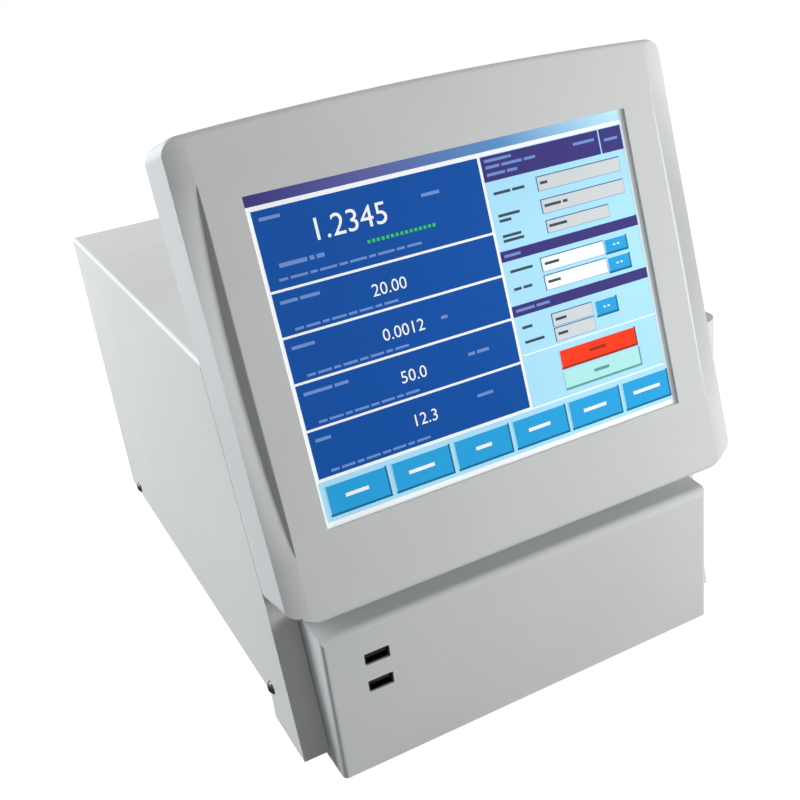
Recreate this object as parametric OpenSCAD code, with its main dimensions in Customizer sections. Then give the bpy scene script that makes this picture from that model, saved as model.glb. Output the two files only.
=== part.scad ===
// Benchtop density meter: a sheet-metal housing with a tilted touch-screen head in front,
// a moulded lower front panel with two data ports, sample ports on the right side,
// and an oscillating glass U-tube in a thermostatted block inside.
// X runs to the right, Y to the back, Z up; the table is Z = 0.
// Inside the modules Y = 0 and X = 0 lie at the centre of the screen.

/* [Display head] */
// Backward tilt of the screen
tilt = 14.6; // [12:0.2:18]
// Height of the screen's centre above the table
screen_z = 232; // [230:0.5:238]
// Width of the screen window
screen_w = 211.2; // [200:0.2:214]
// Height of the screen window
screen_h = 160; // [150:0.5:163]
// Crown of the head above the screen's centre, along the face
head_up = 115.5; // [113:0.5:122]
// Bottom of the head below the screen's centre, along the face
head_down = 118; // [116:0.5:120]
// Depth of the head's rim
head_depth = 37.4; // [36:0.2:42]
// Rise of the crowned top edge
crown_rise = 4; // [2:0.5:8]
// Corner radius of the head
head_corner_r = 8; // [6:0.5:12]
// Radius of the rounded front edge
face_edge_r = 2.8; // [1.5:0.1:2.8]
// Width of the lip under the head
lip_w = 242; // [220:1:248]
// How far the lip hangs below the head
lip_drop = 4.6; // [3:0.2:6]
// Depth of the lip
lip_depth = 12; // [8:0.5:20]
// Wall of the head's rim
rim_wall = 3; // [2.5:0.1:3.5]
// Wall of the head's face
face_wall = 3.5; // [3:0.1:4]
// Thickness of the face over the edge of the touch panel
ledge_t = 1.6; // [1.2:0.1:2]

/* [Flutes beside the screen] */
// Length of each flute
flute_len = 176; // [150:1:190]
// Depth of each flute
flute_depth = 4.2; // [3:0.1:4.6]
// Distance of a flute's ends from the middle
flute_x = 124.4; // [123:0.2:126]
// Lean of the flute, which bows its crease outwards
flute_lean = 20; // [15:1:24]
// Half angle of the flute's inner wall
flute_inner = 35; // [30:1:40]
// Half angle of the flute's outer wall
flute_outer = 72; // [66:1:74]

/* [Housing] */
// Width of the housing and the head
body_w = 271.4; // [268:0.2:280]
// Height of the housing's roof
roof_z = 231.4; // [229:0.2:234]
// Rear edge of the housing, behind the screen's centre
body_rear = 335.3; // [330:0.5:350]
// Thickness of the cover's sheet
cover_t = 1.5; // [1:0.1:1.6]
// Outer radius of the cover's bends
bend_r = 2.5; // [2:0.1:3.5]
// Height of the cover's side edges above the table
side_z = 35; // [33:0.5:36]
// Height of the cover's front legs above the table
leg_z = 17; // [15:0.5:20]
// Rear edge of the front legs
leg_rear = 34; // [34:0.5:38]
// How far the legs reach in front of the screen's centre
leg_front = 8; // [6:0.5:10]
// Width of the cover's return flanges
return_w = 12.5; // [9:0.5:13]
// Open seam between the head and the cover
seam = 0.8; // [0.5:0.1:1.2]

/* [Lower front panel] */
// Width of the panel
panel_w = 241.6; // [236:0.2:243]
// How far its face lies in front of the screen's centre
panel_front = 24.6; // [22:0.2:28]
// Height of its lower edge
panel_z = 10; // [8:0.5:13]
// Height of its face
panel_h = 87.6; // [84:0.2:90]
// Rise of its top towards the back
panel_rise = 2.4; // [1:0.2:3]
// Height of the upstand behind its top
panel_upstand = 11; // [8:0.5:12]
// Depth of its side walls
panel_depth = 48; // [40:0.5:50]
// Wall of the panel
panel_wall = 2.5; // [2:0.1:3]
// Radius of its upright edges
panel_corner_r = 3; // [3:0.2:5]
// Radius of its top fold
panel_fold_r = 5; // [4:0.2:7]
// Distance of the data ports left of the middle
usb_x = 92.4; // [88:0.2:96]
// Height of the upper data port
usb_z = 77.6; // [74:0.2:80]
// Distance between the data ports
usb_pitch = 16.8; // [15:0.2:18]

/* [Base and feet] */
// Height of the feet
foot_h = 16; // [14:0.5:17]
// Diameter of the feet
foot_d = 24; // [18:0.5:26]
// Distance of the feet from the middle
foot_x = 105; // [98:0.5:108]
// Centre of the front feet behind the screen's centre
foot_front = 30; // [27:0.5:34]
// Centre of the rear feet behind the screen's centre
foot_rear = 300; // [290:0.5:310]
// Thickness of the base pan's sheet
pan_t = 2; // [1.5:0.1:2.5]
// Inset of the pan's plinth from the housing's side
plinth_inset = 11.7; // [11:0.1:12.2]
// Height of the pan's side flanges above the side edge
pan_flange_h = 27; // [22:0.5:32]
// Height of the cover screws above the side edge
cover_screw_up = 6.5; // [5.5:0.1:9]
// Front cover screws behind the screen's centre
cover_screw_front = 29; // [26:0.5:32]
// Rear cover screws behind the screen's centre
cover_screw_rear = 308; // [290:0.5:315]

/* [Sample ports] */
// How far the port pod stands out from the side
pod_out = 40; // [34:0.5:44]
// Front of the pod behind the screen's centre
pod_front = 24; // [20:0.5:28]
// Length of the pod
pod_len = 72; // [66:0.5:90]
// Height of the pod's underside
pod_z = 100; // [96:0.5:104]
// Height of the pod
pod_h = 72.5; // [70:0.5:80]
// Radius of the pod's upright edges
pod_r = 12; // [8:0.5:16]
// Wall of the pod
pod_wall = 2.5; // [2:0.1:3]
// Distance of the ports behind the screen's centre
port_y = 60; // [58:0.5:64]
// Bore of the sample fittings
port_bore = 4.2; // [4:0.1:4.6]
// Outer diameter of the sample fittings
port_d = 9; // [8:0.2:10]
// How far the fittings stand out from the pod
port_out = 12; // [8:0.5:14]
// Height of the drying-air nozzle
air_z = 116; // [113:0.5:120]

/* [Measuring cell] */
// Centre of the cell right of the middle
cell_x = 78; // [74:0.5:82]
// Height of the cell's centre
cell_z = 152; // [149:0.5:153]
// Distance between the legs of the U-tube
leg_pitch = 22; // [20:0.5:24]
// Outer diameter of the U-tube
glass_d = 3.2; // [3:0.1:4]
// Bore of the U-tube
glass_bore = 2.2; // [1.8:0.1:2.4]
// Length of the cell block
cell_len = 120; // [110:1:130]
// Width of the cell block
cell_w = 52; // [48:0.5:54]
// Height of the cell block
cell_h = 42; // [40:0.5:44]
// Thickness of the foam jacket
foam_t = 7; // [5:0.5:8]
// Edge of a thermoelectric module
module_w = 40; // [34:1:42]
// Thickness of a thermoelectric module
module_t = 3.8; // [3:0.1:4.5]
// Height of the heat sink
sink_h = 28; // [22:0.5:32]
// Number of fins on the heat sink
sink_fins = 9; // [6:1:12]

/* [Rear] */
// Size of the fan's frame
fan_w = 80; // [76:1:84]
// Depth of the fan's frame
fan_depth = 25; // [20:0.5:30]
// Centre of the fan left of the middle
fan_x = 70; // [64:0.5:76]
// Height of the fan's centre
fan_z = 160; // [150:0.5:165]
// Number of fan blades
fan_blades = 7; // [5:1:9]
// Centre of the mains inlet right of the middle
inlet_x = 92; // [86:0.5:96]
// Height of the mains inlet's centre
inlet_z = 122; // [116:0.5:130]
// Travel of the fuse drawer
drawer_travel = 22; // [16:0.5:24]

/* [Electronics] */
// Height of the stand-offs under the main board
standoff_h = 8; // [6:0.5:10]
// Thickness of the circuit boards
board_t = 1.6; // [1.2:0.1:2]
// Length of the main board
board_len = 140; // [130:1:150]
// Width of the main board
board_w = 108; // [104:1:112]
// Length of the power supply
supply_len = 129; // [110:1:132]
// Width of the power supply
supply_w = 97; // [88:1:98]
// Height of the power supply
supply_h = 30; // [26:0.5:34]

/* [Hidden] */
fit = 0.3; // gap round a piece that is set into another
run = 0.05; // radial gap of a shaft in its bore
eps = 1; // overshoot of a cut
$fn = 64;

half_w = body_w / 2;
shell_in = half_w - cover_t; // inner face of the cover's sides
cover_head_h = 2.4; // height of the cover screws' heads
mid_x = (pod_out + port_out - cover_head_h) / 2; // from the screen's centre to the middle of the whole width
guard_t = 3.6; // how far the fan guard stands out
rear_out = 5.1; // how far the rocker's raised end stands out from the rear panel
rear_skin = 0.8; // the rear panel lies this far inside the cover's edge
rear_y = body_rear - rear_skin; // outer face of the rear panel
front_y = (head_down + lip_drop) * sin(tilt); // front-most edge, in front of the screen's centre
mid_y = (rear_y + rear_out - front_y) / 2;

floor_z = foot_h + pan_t; // top of the base pan's floor
rear_in = rear_y - cover_t; // inner face of the rear panel

crown_half = half_w - head_corner_r;
crown_r = (crown_half * crown_half + crown_rise * crown_rise) / (2 * crown_rise);
crown_u = head_up - crown_r; // centre of the crown's circle, along the face

panel_top = panel_z + panel_h;
port_low = cell_z - leg_pitch / 2;
port_high = cell_z + leg_pitch / 2;
pod_x = half_w + pod_out; // outer face of the pod

paint = [0.86, 0.87, 0.86];
moulding = [0.82, 0.83, 0.83];
steel = [0.72, 0.73, 0.75];
dark = [0.12, 0.12, 0.13];
board_green = [0.10, 0.35, 0.20];

// ---- frames of reference ----

// from the screen's centre to the middle of the whole instrument
module in_frame() translate([-mid_x, -mid_y, 0]) children();

// X to the right, Y up along the screen, Z out of the screen
module on_face() translate([0, 0, screen_z]) rotate([90 - tilt, 0, 0]) children();

// a flat drawing of Y and Z, given a thickness from x0 to x1
module side_plate(x0, x1) translate([x0, 0, 0]) rotate([90, 0, 90]) linear_extrude(x1 - x0) children();

// a flat drawing of X and Z, given a thickness from y0 to y1
module upright_plate(y0, y1) translate([0, y1, 0]) rotate([90, 0, 0]) linear_extrude(y1 - y0) children();

// a box between two corners
module block(low, high) translate(low) cube(high - low);

module mirrored() {
    children();
    mirror([1, 0, 0]) children();
}

// a point on the head's section: u along the face, off behind it
function face_y(u, off) = u * sin(tilt) + off * cos(tilt);
function face_z(u, off) = screen_z + u * cos(tilt) - off * sin(tilt);
// how far along the face a height lies, at a distance behind the face
function face_u(z, off) = (z - screen_z + off * sin(tilt)) / cos(tilt);

// a screw along Z: domed head above Z = 0, shank below, hexagon or cross recess
module screw(d, head_d, head_h, len, sides = 6) {
    ball = (head_d * head_d / 4 + head_h * head_h) / (2 * head_h);
    difference() {
        union() {
            intersection() {
                translate([0, 0, head_h - ball]) sphere(ball);
                cylinder(h = head_h, d = head_d);
            }
            translate([0, 0, -len]) cylinder(h = len + head_h / 4, d = d);
        }
        translate([0, 0, head_h * 0.4]) cylinder(h = head_h, d = head_d * 0.45, $fn = sides);
    }
}

module rounded_square(w, h, r) {
    square([w - 2 * r, h], center = true);
    square([w, h - 2 * r], center = true);
    for (x = [-1, 1], y = [-1, 1]) translate([x * (w / 2 - r), y * (h / 2 - r)]) circle(r);
}

// ---- display head ----

function corner_r(i) = max(head_corner_r - i, 1);
// centre height of the upper corners and the angle where they run into the crown
function corner_u(i) = crown_u + sqrt(pow(crown_r - i - corner_r(i), 2) - pow(half_w - i - corner_r(i), 2));
function crown_angle(i) = atan2(corner_u(i) - crown_u, half_w - i - corner_r(i));

// the head's outline, drawn in by i all round
module head_outline(i) {
    w = half_w - i;
    r = corner_r(i);
    high = corner_u(i);
    low = -head_down + i;
    a = crown_angle(i) + 0.01; // short of the corner circle, which it would only touch
    reach = crown_r + 10;
    translate([-w, low + r]) square([2 * w, high - low - r]);
    translate([-w + r, low]) square([2 * (w - r), high - low]);
    for (x = [-1, 1], u = [low + r, high]) translate([x * (w - r), u]) circle(r);
    translate([0, crown_u]) intersection() {
        circle(crown_r - i, $fn = 1600);
        polygon([[-(w - r), high - crown_u], [w - r, high - crown_u],
                 [reach * cos(a), reach * sin(a)], [-reach * cos(a), reach * sin(a)]]);
    }
}

// the head's block, its front edge rounded at the sides and along the bottom
module head_solid() {
    e = face_edge_r;
    r = head_corner_r;
    high = corner_u(0);
    low = -head_down;
    translate([0, 0, -head_depth]) linear_extrude(head_depth - e) head_outline(0);
    translate([0, 0, -e - 1]) linear_extrude(e + 1) intersection() {
        head_outline(0);
        translate([-half_w + e, low + e]) square([2 * (half_w - e), 3 * head_up]);
    }
    for (x = [-1, 1]) {
        translate([x * (half_w - e), low + r, -e]) rotate([-90, 0, 0]) cylinder(h = high - low - r, r = e);
        for (u = [low + r, high]) translate([x * (half_w - r), u, -e]) rotate_extrude() {
            translate([r - e, 0]) circle(e);
            translate([0, -e]) square([r - e, 2 * e]);
        }
    }
    translate([0, low + e, -e]) rotate([0, 90, 0]) cylinder(h = 2 * (half_w - r), r = e, center = true);
}

bezel_boss_x = half_w - 12.7;
bezel_boss_u = [-head_down + 14, 2, head_up - 13.5];
frame_off = head_depth - 7.4; // the frame's front face, behind the screen face
boss_d = 9;

panel_off = ledge_t + 0.6; // front of the touch panel, behind the face
glass_t = 1.8;
glass_w = screen_w + 11;
glass_h = screen_h + 11;
lcd_off = panel_off + glass_t + fit;
lcd_t = 9.7;
lcd_w = screen_w + 20.8;
lcd_h = screen_h + 16;
lcd_back = lcd_off + lcd_t;
bracket_t = 1.2;
bracket_u = lcd_h / 2 + 8; // screws of the brackets
bracket_x = screen_w / 2 - 5;

module flute(side) {
    deep = flute_depth / cos(flute_lean);
    r = (flute_len * flute_len / 4 + deep * deep) / (2 * deep);
    h = deep + 2;
    translate([side * flute_x, 1, 0]) rotate([0, -side * flute_lean, 0]) translate([0, 0, r - deep])
        rotate([0, side * 90, 0]) rotate_extrude($fn = 1000)
            polygon([[r, 0], [r - h, h * tan(flute_outer)], [r - h, -h * tan(flute_inner)]]);
}

module display_bezel() in_frame() color(moulding) on_face() {
    backing_x = half_w - rim_wall - 15.4;
    difference() {
        union() {
            difference() {
                head_solid();
                translate([0, 0, -head_depth - eps]) linear_extrude(head_depth + eps - face_wall)
                    head_outline(rim_wall);
            }
            mirrored() block([backing_x, -flute_len / 2 - 2, -face_wall - 4.5],
                             [half_w - rim_wall / 2, flute_len / 2 + 4, -face_wall + eps]);
            // the lip along the bottom edge
            rotate([90, 0, 90]) linear_extrude(lip_w, center = true) {
                translate([-head_down - lip_drop + face_edge_r, -face_edge_r]) circle(face_edge_r);
                translate([-head_down - lip_drop + face_edge_r, -lip_depth])
                    square([lip_drop + rim_wall - 0.5, lip_depth]);
                translate([-head_down - lip_drop, -lip_depth]) square([face_edge_r, lip_depth - face_edge_r]);
            }
            for (x = [-1, 1], u = bezel_boss_u)
                translate([x * bezel_boss_x, u, -frame_off]) cylinder(h = frame_off - face_wall + eps, d = boss_d);
            for (x = [-1, 1], u = [-1, 1])
                translate([x * bracket_x, u * bracket_u, -lcd_back])
                    cylinder(h = lcd_back - face_wall + eps, d = boss_d - 1);
        }
        linear_extrude(2 * head_depth, center = true) rounded_square(screen_w, screen_h, 1);
        translate([0, 0, -face_wall - 5]) linear_extrude(5 + face_wall - ledge_t)
            square([glass_w + 2 * fit, glass_h + 2 * fit], center = true);
        flute(-1);
        flute(1);
        for (x = [-1, 1], u = bezel_boss_u)
            translate([x * bezel_boss_x, u, -frame_off - eps]) cylinder(h = 13, d = 3.3);
        for (x = [-1, 1], u = [-1, 1])
            translate([x * bracket_x, u * bracket_u, -lcd_back - eps]) cylinder(h = 8, d = 2.5);
    }
}

module screen_gasket() in_frame() color(dark) on_face()
    translate([0, 0, -panel_off]) linear_extrude(panel_off - ledge_t) difference() {
        square([glass_w, glass_h], center = true);
        square([screen_w + 3, screen_h + 3], center = true);
    }

module touch_panel() in_frame() color([0.30, 0.42, 0.55]) on_face()
    translate([0, 0, -panel_off - glass_t]) linear_extrude(glass_t)
        square([glass_w, glass_h], center = true);

module lcd_module() in_frame() color([0.20, 0.30, 0.60]) on_face() difference() {
    union() {
        translate([0, 0, -lcd_back]) linear_extrude(lcd_t) square([lcd_w, lcd_h], center = true);
        // driver cover on the back
        translate([0, -lcd_h / 4, -lcd_back - 3]) linear_extrude(3 + eps)
            square([lcd_w - 30, lcd_h / 3], center = true);
    }
    translate([0, 0, -lcd_off - 0.6]) linear_extrude(eps + 0.6) square([screen_w, screen_h], center = true);
}

module lcd_brackets() in_frame() color(steel) on_face() for (u = [-1, 1]) difference() {
    translate([0, u * (bracket_u - 5), -lcd_back - bracket_t / 2])
        cube([lcd_w - 10, 22, bracket_t], center = true);
    for (x = [-1, 1]) translate([x * bracket_x, u * bracket_u, -lcd_back - 5]) cylinder(h = 10, d = 3.2);
    translate([0, u * (bracket_u + 1), -lcd_back]) cube([60, 6, 10], center = true);
}

module lcd_screws() in_frame() color(steel) on_face()
    for (x = [-1, 1], u = [-1, 1]) translate([x * bracket_x, u * bracket_u, -lcd_back - bracket_t])
        rotate([180, 0, 0]) screw(2.3, 5.5, 2, 6, 4);

display_board_off = lcd_back + 8;
ribbon_u = -6; // the flat cable's slot, along the face
module display_board() in_frame() color(board_green) on_face() {
    posts = [for (x = [-50, 50], u = [-10, 45]) [x, u]];
    difference() {
        translate([-60, -18, -display_board_off - board_t]) cube([120, 70, board_t]);
        for (p = posts) translate([p[0], p[1], -display_board_off - 5]) cylinder(h = 10, d = 3);
    }
    for (p = posts) translate([p[0], p[1], -display_board_off]) difference() {
        cylinder(h = display_board_off - lcd_back, d = 6);
        translate([0, 0, -eps]) cylinder(h = 5, d = 2.5);
    }
    translate([-59, ribbon_u - 3, -display_board_off - board_t - 5]) cube([28, 6, 5.5]);
    translate([-8, 10, -display_board_off - board_t - 3]) cube([30, 26, 3.5]);
}

// flat cable from the display board over the frame's slot and down to the main board
module display_ribbon() in_frame() color([0.55, 0.57, 0.60]) {
    off0 = display_board_off + board_t + 5;
    y0 = face_y(ribbon_u, off0);
    z0 = face_z(ribbon_u, off0);
    y1 = face_y(ribbon_u, frame_off + 14);
    z1 = face_z(ribbon_u, frame_off + 14);
    end_y = rear_in - board_len - 2;
    low = floor_z + standoff_h + board_t + 5;
    side_plate(-60, -30) polygon([
        [y0, z0], [y1, z1], [y1 + 8, z1 - 12], [end_y - 30, low + 30], [end_y - 12, low],
        [end_y + 8, low], [end_y + 8, low + 1], [end_y - 11.5, low + 1], [end_y - 29.2, low + 30.4],
        [y1 + 8.9, z1 - 11.6], [y1 + 0.4, z1 + 0.9], [y0, z0 + 1]
    ]);
}

back_low = face_u(roof_z, head_depth) + 2.5; // lower edge of the back cover, along the face
module back_cover_outline() intersection() {
    head_outline(rim_wall + fit);
    translate([-half_w, back_low]) square([body_w, 2 * head_up]);
}

hump_d = 8; // how far the cover bulges to the back
hump_w = 196;
hump_u = (back_low + head_up) / 2 - 2;
hump_h = head_up - back_low - 38;
back_screws = [for (x = [-1, 1]) [x * 70, head_up - 13.5], for (x = [-1, 1]) [x * 70, back_low + 8]];
module display_back_cover() in_frame() color(moulding) on_face() difference() {
    union() {
        translate([0, 0, -head_depth + 1]) linear_extrude(2.5) back_cover_outline();
        translate([0, hump_u, -head_depth - hump_d]) linear_extrude(hump_d + 2) rounded_square(hump_w, hump_h, 12);
        for (p = back_screws) translate([p[0], p[1], -head_depth + 1])
            cylinder(h = head_depth - frame_off - cover_t - 1, d = 8);
    }
    translate([0, hump_u, -head_depth - hump_d + 2.5]) linear_extrude(hump_d + 2)
        rounded_square(hump_w - 5, hump_h - 5, 9.5);
    for (x = [-63:14:63]) translate([x, hump_u, -head_depth - hump_d])
        linear_extrude(hump_d, center = true) rounded_square(4, 36, 1.9);
    for (p = back_screws) translate([p[0], p[1], -head_depth - 9]) {
        cylinder(h = 30, d = 3.4);
        cylinder(h = 13, d = 6.4);
    }
}

module back_cover_screws() in_frame() color(dark) on_face()
    for (p = back_screws) translate([p[0], p[1], -head_depth + 4]) rotate([180, 0, 0]) screw(3, 5.8, 2.2, 9, 4);

// ---- front frame ----

cheek_x = panel_w / 2 - 6.3; // outer face of the frame's side cheeks
cheek_rear = 47;
web_y = 14;
frame_low_u = -head_down + 10;
panel_boss_x = 64;
panel_boss_z = [panel_z + 17, panel_top - 12];

module cheek_outline() polygon([
    [face_y(frame_low_u, frame_off), face_z(frame_low_u, frame_off)],
    [web_y, panel_top + panel_rise + panel_upstand + 5], [web_y, floor_z], [cheek_rear, floor_z],
    [cheek_rear, roof_z - 6], [face_y(face_u(roof_z - 6, frame_off), frame_off), roof_z - 6]
]);

module front_frame() in_frame() color(steel) {
    on_face() difference() {
        translate([0, 0, -frame_off - cover_t]) linear_extrude(cover_t) intersection() {
            head_outline(rim_wall + fit + 0.5);
            translate([-half_w, frame_low_u]) square([body_w, 2 * head_down]);
        }
        for (x = [-1, 1], u = bezel_boss_u)
            translate([x * bezel_boss_x, u, -frame_off]) cylinder(h = 10, d = 4, center = true);
        for (p = back_screws)
            translate([p[0], p[1], -frame_off]) cylinder(h = 10, d = 3.3, center = true);
        // slot for the display's flat cable and a row of cooling holes
        translate([-45, ribbon_u, -frame_off]) cube([36, 12, 10], center = true);
        for (x = [-80:20:80], u = [-85, -60, -35])
            translate([x, u, -frame_off]) cylinder(h = 10, d = 12, center = true);
    }
    mirrored() difference() {
        side_plate(cheek_x - cover_t, cheek_x) cheek_outline();
        for (z = [55, 100, 145, 190])
            side_plate(cheek_x - 2 * cover_t, cheek_x + cover_t) translate([(web_y + cheek_rear) / 2, z]) circle(10);
    }
    difference() {
        block([-cheek_x + 0.5, web_y, floor_z],
              [cheek_x - 0.5, web_y + cover_t, panel_top + panel_rise + panel_upstand + 5]);
        for (x = [-1, 1], z = panel_boss_z)
            upright_plate(web_y - eps, web_y + 3) translate([x * panel_boss_x, z]) circle(1.8);
        upright_plate(web_y - eps, web_y + 3) translate([-usb_x, usb_z - 26]) circle(9);
    }
    // foot flanges on the base pan
    mirrored() difference() {
        block([cheek_x - 14, web_y, floor_z], [cheek_x - 0.5, cheek_rear, floor_z + cover_t]);
        for (y = [web_y + 8, cheek_rear - 6]) translate([cheek_x - 8, y, floor_z - eps]) cylinder(h = 6, d = 4.4);
    }
}

module frame_screws() in_frame() color(steel)
    for (x = [-1, 1], y = [web_y + 8, cheek_rear - 6])
        translate([x * (cheek_x - 8), y, floor_z + cover_t]) screw(3.9, 7, 2.4, cover_t + pan_t, 4);

module bezel_screws() in_frame() color(steel) on_face()
    for (x = [-1, 1], u = bezel_boss_u) translate([x * bezel_boss_x, u, -frame_off - cover_t])
        rotate([180, 0, 0]) screw(3.2, 6.5, 2.4, 12, 4);

// ---- lower front panel ----

usb_hole_w = 14.2;
usb_hole_h = 7;
usb_shell_w = 13.1;
usb_shell_h = 5.9;
usb_board_y = -panel_front + 15.1; // front face of the port board
usb_heights = [usb_z, usb_z - usb_pitch];
usb_board_low = usb_z - usb_pitch - 12;
usb_board_high = usb_z + 13;
usb_post_x = 16;
usb_post_z = [usb_board_low + 4.5, usb_board_high - 4.5];

up_y = 8.5; // front of the panel's upstand
panel_rear = -panel_front + panel_depth;
panel_side_top = panel_top - 10; // top of the side walls behind the upstand

// the panel's section in Y and Z down to low, drawn in by i
module panel_section(i, low) {
    front = -panel_front + i;
    top = panel_top - i;
    r = panel_fold_r - i;
    translate([front + r, top - r]) circle(r);
    polygon([[front, low], [front, top - r], [front + r, top - r], [front + r, top],
             [up_y + i, top + panel_rise], [panel_rear, top + panel_rise], [panel_rear, low]]);
}

module lower_front_panel() in_frame() color(moulding) difference() {
    back_top = panel_top + panel_rise;
    union() {
        difference() {
            intersection() {
                side_plate(-panel_w / 2, panel_w / 2) panel_section(0, panel_z);
                translate([0, panel_rear, panel_z]) linear_extrude(2 * panel_h)
                    rounded_square(panel_w, 2 * panel_depth, panel_corner_r);
            }
            side_plate(-panel_w / 2 + panel_wall, panel_w / 2 - panel_wall)
                panel_section(panel_wall, panel_z - eps);
            block([-panel_w, up_y + panel_wall, panel_side_top], [panel_w, 2 * panel_depth, 2 * panel_top]);
            // open back
            block([-panel_w / 2 + panel_wall, panel_rear - 3, 0],
                  [panel_w / 2 - panel_wall, panel_rear + eps, panel_side_top]);
        }
        block([-panel_w / 2, up_y, back_top - panel_wall - 1],
              [panel_w / 2, up_y + panel_wall, back_top + panel_upstand]);
        for (x = [-1, 1], z = panel_boss_z)
            upright_plate(-panel_front + 1, web_y) translate([x * panel_boss_x, z]) circle(boss_d / 2);
        for (x = [-1, 1], z = usb_post_z)
            upright_plate(-panel_front + 1, usb_board_y) translate([-usb_x + x * usb_post_x, z]) circle(3);
    }
    for (z = usb_heights)
        upright_plate(-panel_front - eps, -panel_front + panel_wall + eps)
            translate([-usb_x, z]) rounded_square(usb_hole_w, usb_hole_h, 0.6);
    for (x = [-1, 1], z = panel_boss_z)
        upright_plate(web_y - 12, web_y + eps) translate([x * panel_boss_x, z]) circle(1.5);
    for (x = [-1, 1], z = usb_post_z)
        upright_plate(usb_board_y - 8, usb_board_y + eps) translate([-usb_x + x * usb_post_x, z]) circle(1);
}

// the same screws hold the lower panel to the frame and the pod to the cover
module body_screws() in_frame() color(steel) {
    for (x = [-1, 1], z = panel_boss_z) translate([x * panel_boss_x, web_y + cover_t, z])
        rotate([-90, 0, 0]) screw(2.9, 6, 2.2, 10, 4);
    for (y = pod_screw_y) translate([shell_in, y, pod_z + pod_h / 2]) rotate([0, -90, 0]) screw(2.9, 6, 2.2, 10, 4);
}

module usb_board() in_frame() color(board_green) difference() {
    block([-usb_x - 20, usb_board_y, usb_board_low], [-usb_x + 20, usb_board_y + board_t, usb_board_high]);
    for (x = [-1, 1], z = usb_post_z)
        upright_plate(usb_board_y - eps, usb_board_y + 4) translate([-usb_x + x * usb_post_x, z]) circle(1.3);
}

module usb_board_screws() in_frame() color(steel)
    for (x = [-1, 1], z = usb_post_z) translate([-usb_x + x * usb_post_x, usb_board_y + board_t, z])
        rotate([-90, 0, 0]) screw(1.9, 4.2, 1.6, 7, 4);

// a data socket with its mouth at y0, facing the front, and its tongue inside
module usb_socket(y0, y1) {
    difference() {
        upright_plate(y0, y1) rounded_square(usb_shell_w, usb_shell_h, 0.5);
        upright_plate(y0 - eps, y1 - 2) square([usb_shell_w - 0.9, usb_shell_h - 0.9], center = true);
    }
    block([-5.6, y0 + 1.2, 0.1], [5.6, y1 - 1.5, 1.9]);
}

module usb_port_upper() in_frame() color([0.35, 0.36, 0.38])
    translate([-usb_x, 0, usb_z]) usb_socket(-panel_front + 0.5, usb_board_y);

module usb_port_lower() in_frame() color([0.35, 0.36, 0.38])
    translate([-usb_x, 0, usb_z - usb_pitch]) usb_socket(-panel_front + 0.5, usb_board_y);

// ---- housing ----

cover_screw_z = side_z + cover_screw_up;
leg_top_off = head_depth + seam;

// the cover's side, in Y and Z
module cover_side() {
    u_low = -head_down + 1;
    u_top = face_u(roof_z, leg_top_off);
    polygon([
        [body_rear, side_z], [leg_rear, side_z], [leg_rear, leg_z], [-leg_front, leg_z],
        [face_y(u_low, leg_top_off), face_z(u_low, leg_top_off)],
        [face_y(u_top, leg_top_off), roof_z], [body_rear, roof_z]
    ]);
}

module cover_section(i) {
    r = bend_r - i;
    w = half_w - i;
    top = roof_z - i;
    translate([-w, 0]) square([2 * w, top - r]);
    translate([-w + r, 0]) square([2 * (w - r), top]);
    for (x = [-1, 1]) translate([x * (w - r), top - r]) circle(r);
}

hatch_y = [port_y - 12, port_y + 12];
hatch_z = [air_z - 9, port_high + 7];
pod_screw_y = [pod_front + 9, pod_front + pod_len - 9];

module wrap_cover() in_frame() color(paint) difference() {
    union() {
        intersection() {
            side_plate(-half_w, half_w) cover_side();
            difference() {
                upright_plate(-100, body_rear + eps) cover_section(0);
                upright_plate(-101, body_rear + 2 * eps) cover_section(cover_t);
            }
        }
        mirrored() side_plate(half_w - return_w, half_w - cover_t / 2) difference() {
            cover_side();
            translate([cover_t, 0]) cover_side();
        }
    }
    // cut the flanges' upper ends away under the roof's bend
    upright_plate(-100, 100) difference() {
        translate([-body_w, roof_z - bend_r]) square([2 * body_w, 2 * bend_r]);
        cover_section(0);
    }
    for (x = [-1, 1], y = [cover_screw_front, cover_screw_rear])
        translate([x * half_w, y, cover_screw_z]) rotate([0, 90, 0]) cylinder(h = 10, d = 4.4, center = true);
    // opening and screw holes behind the pod
    block([shell_in - eps, hatch_y[0], hatch_z[0]], [half_w + eps, hatch_y[1], hatch_z[1]]);
    for (y = pod_screw_y)
        translate([half_w, y, pod_z + pod_h / 2]) rotate([0, 90, 0]) cylinder(h = 10, d = 3.4, center = true);
}

module cover_screws() in_frame() color(dark)
    for (x = [-1, 1], y = [cover_screw_front, cover_screw_rear])
        translate([x * half_w, y, cover_screw_z]) rotate([0, x * 90, 0]) screw(3.9, 8, cover_head_h, 7);

floor_inset = 3.8; // how far the floor's front part lies inside the lower panel's faces
pan_front = panel_rear + fit; // front edge of the pan's side walls
pan_in = half_w - plinth_inset; // outer face of the plinth
pan_out = shell_in - fit; // outer face of the side flanges
pan_rear = rear_in - fit; // rear face of the pan's rear wall
shelf_z = side_z + 1;

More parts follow.
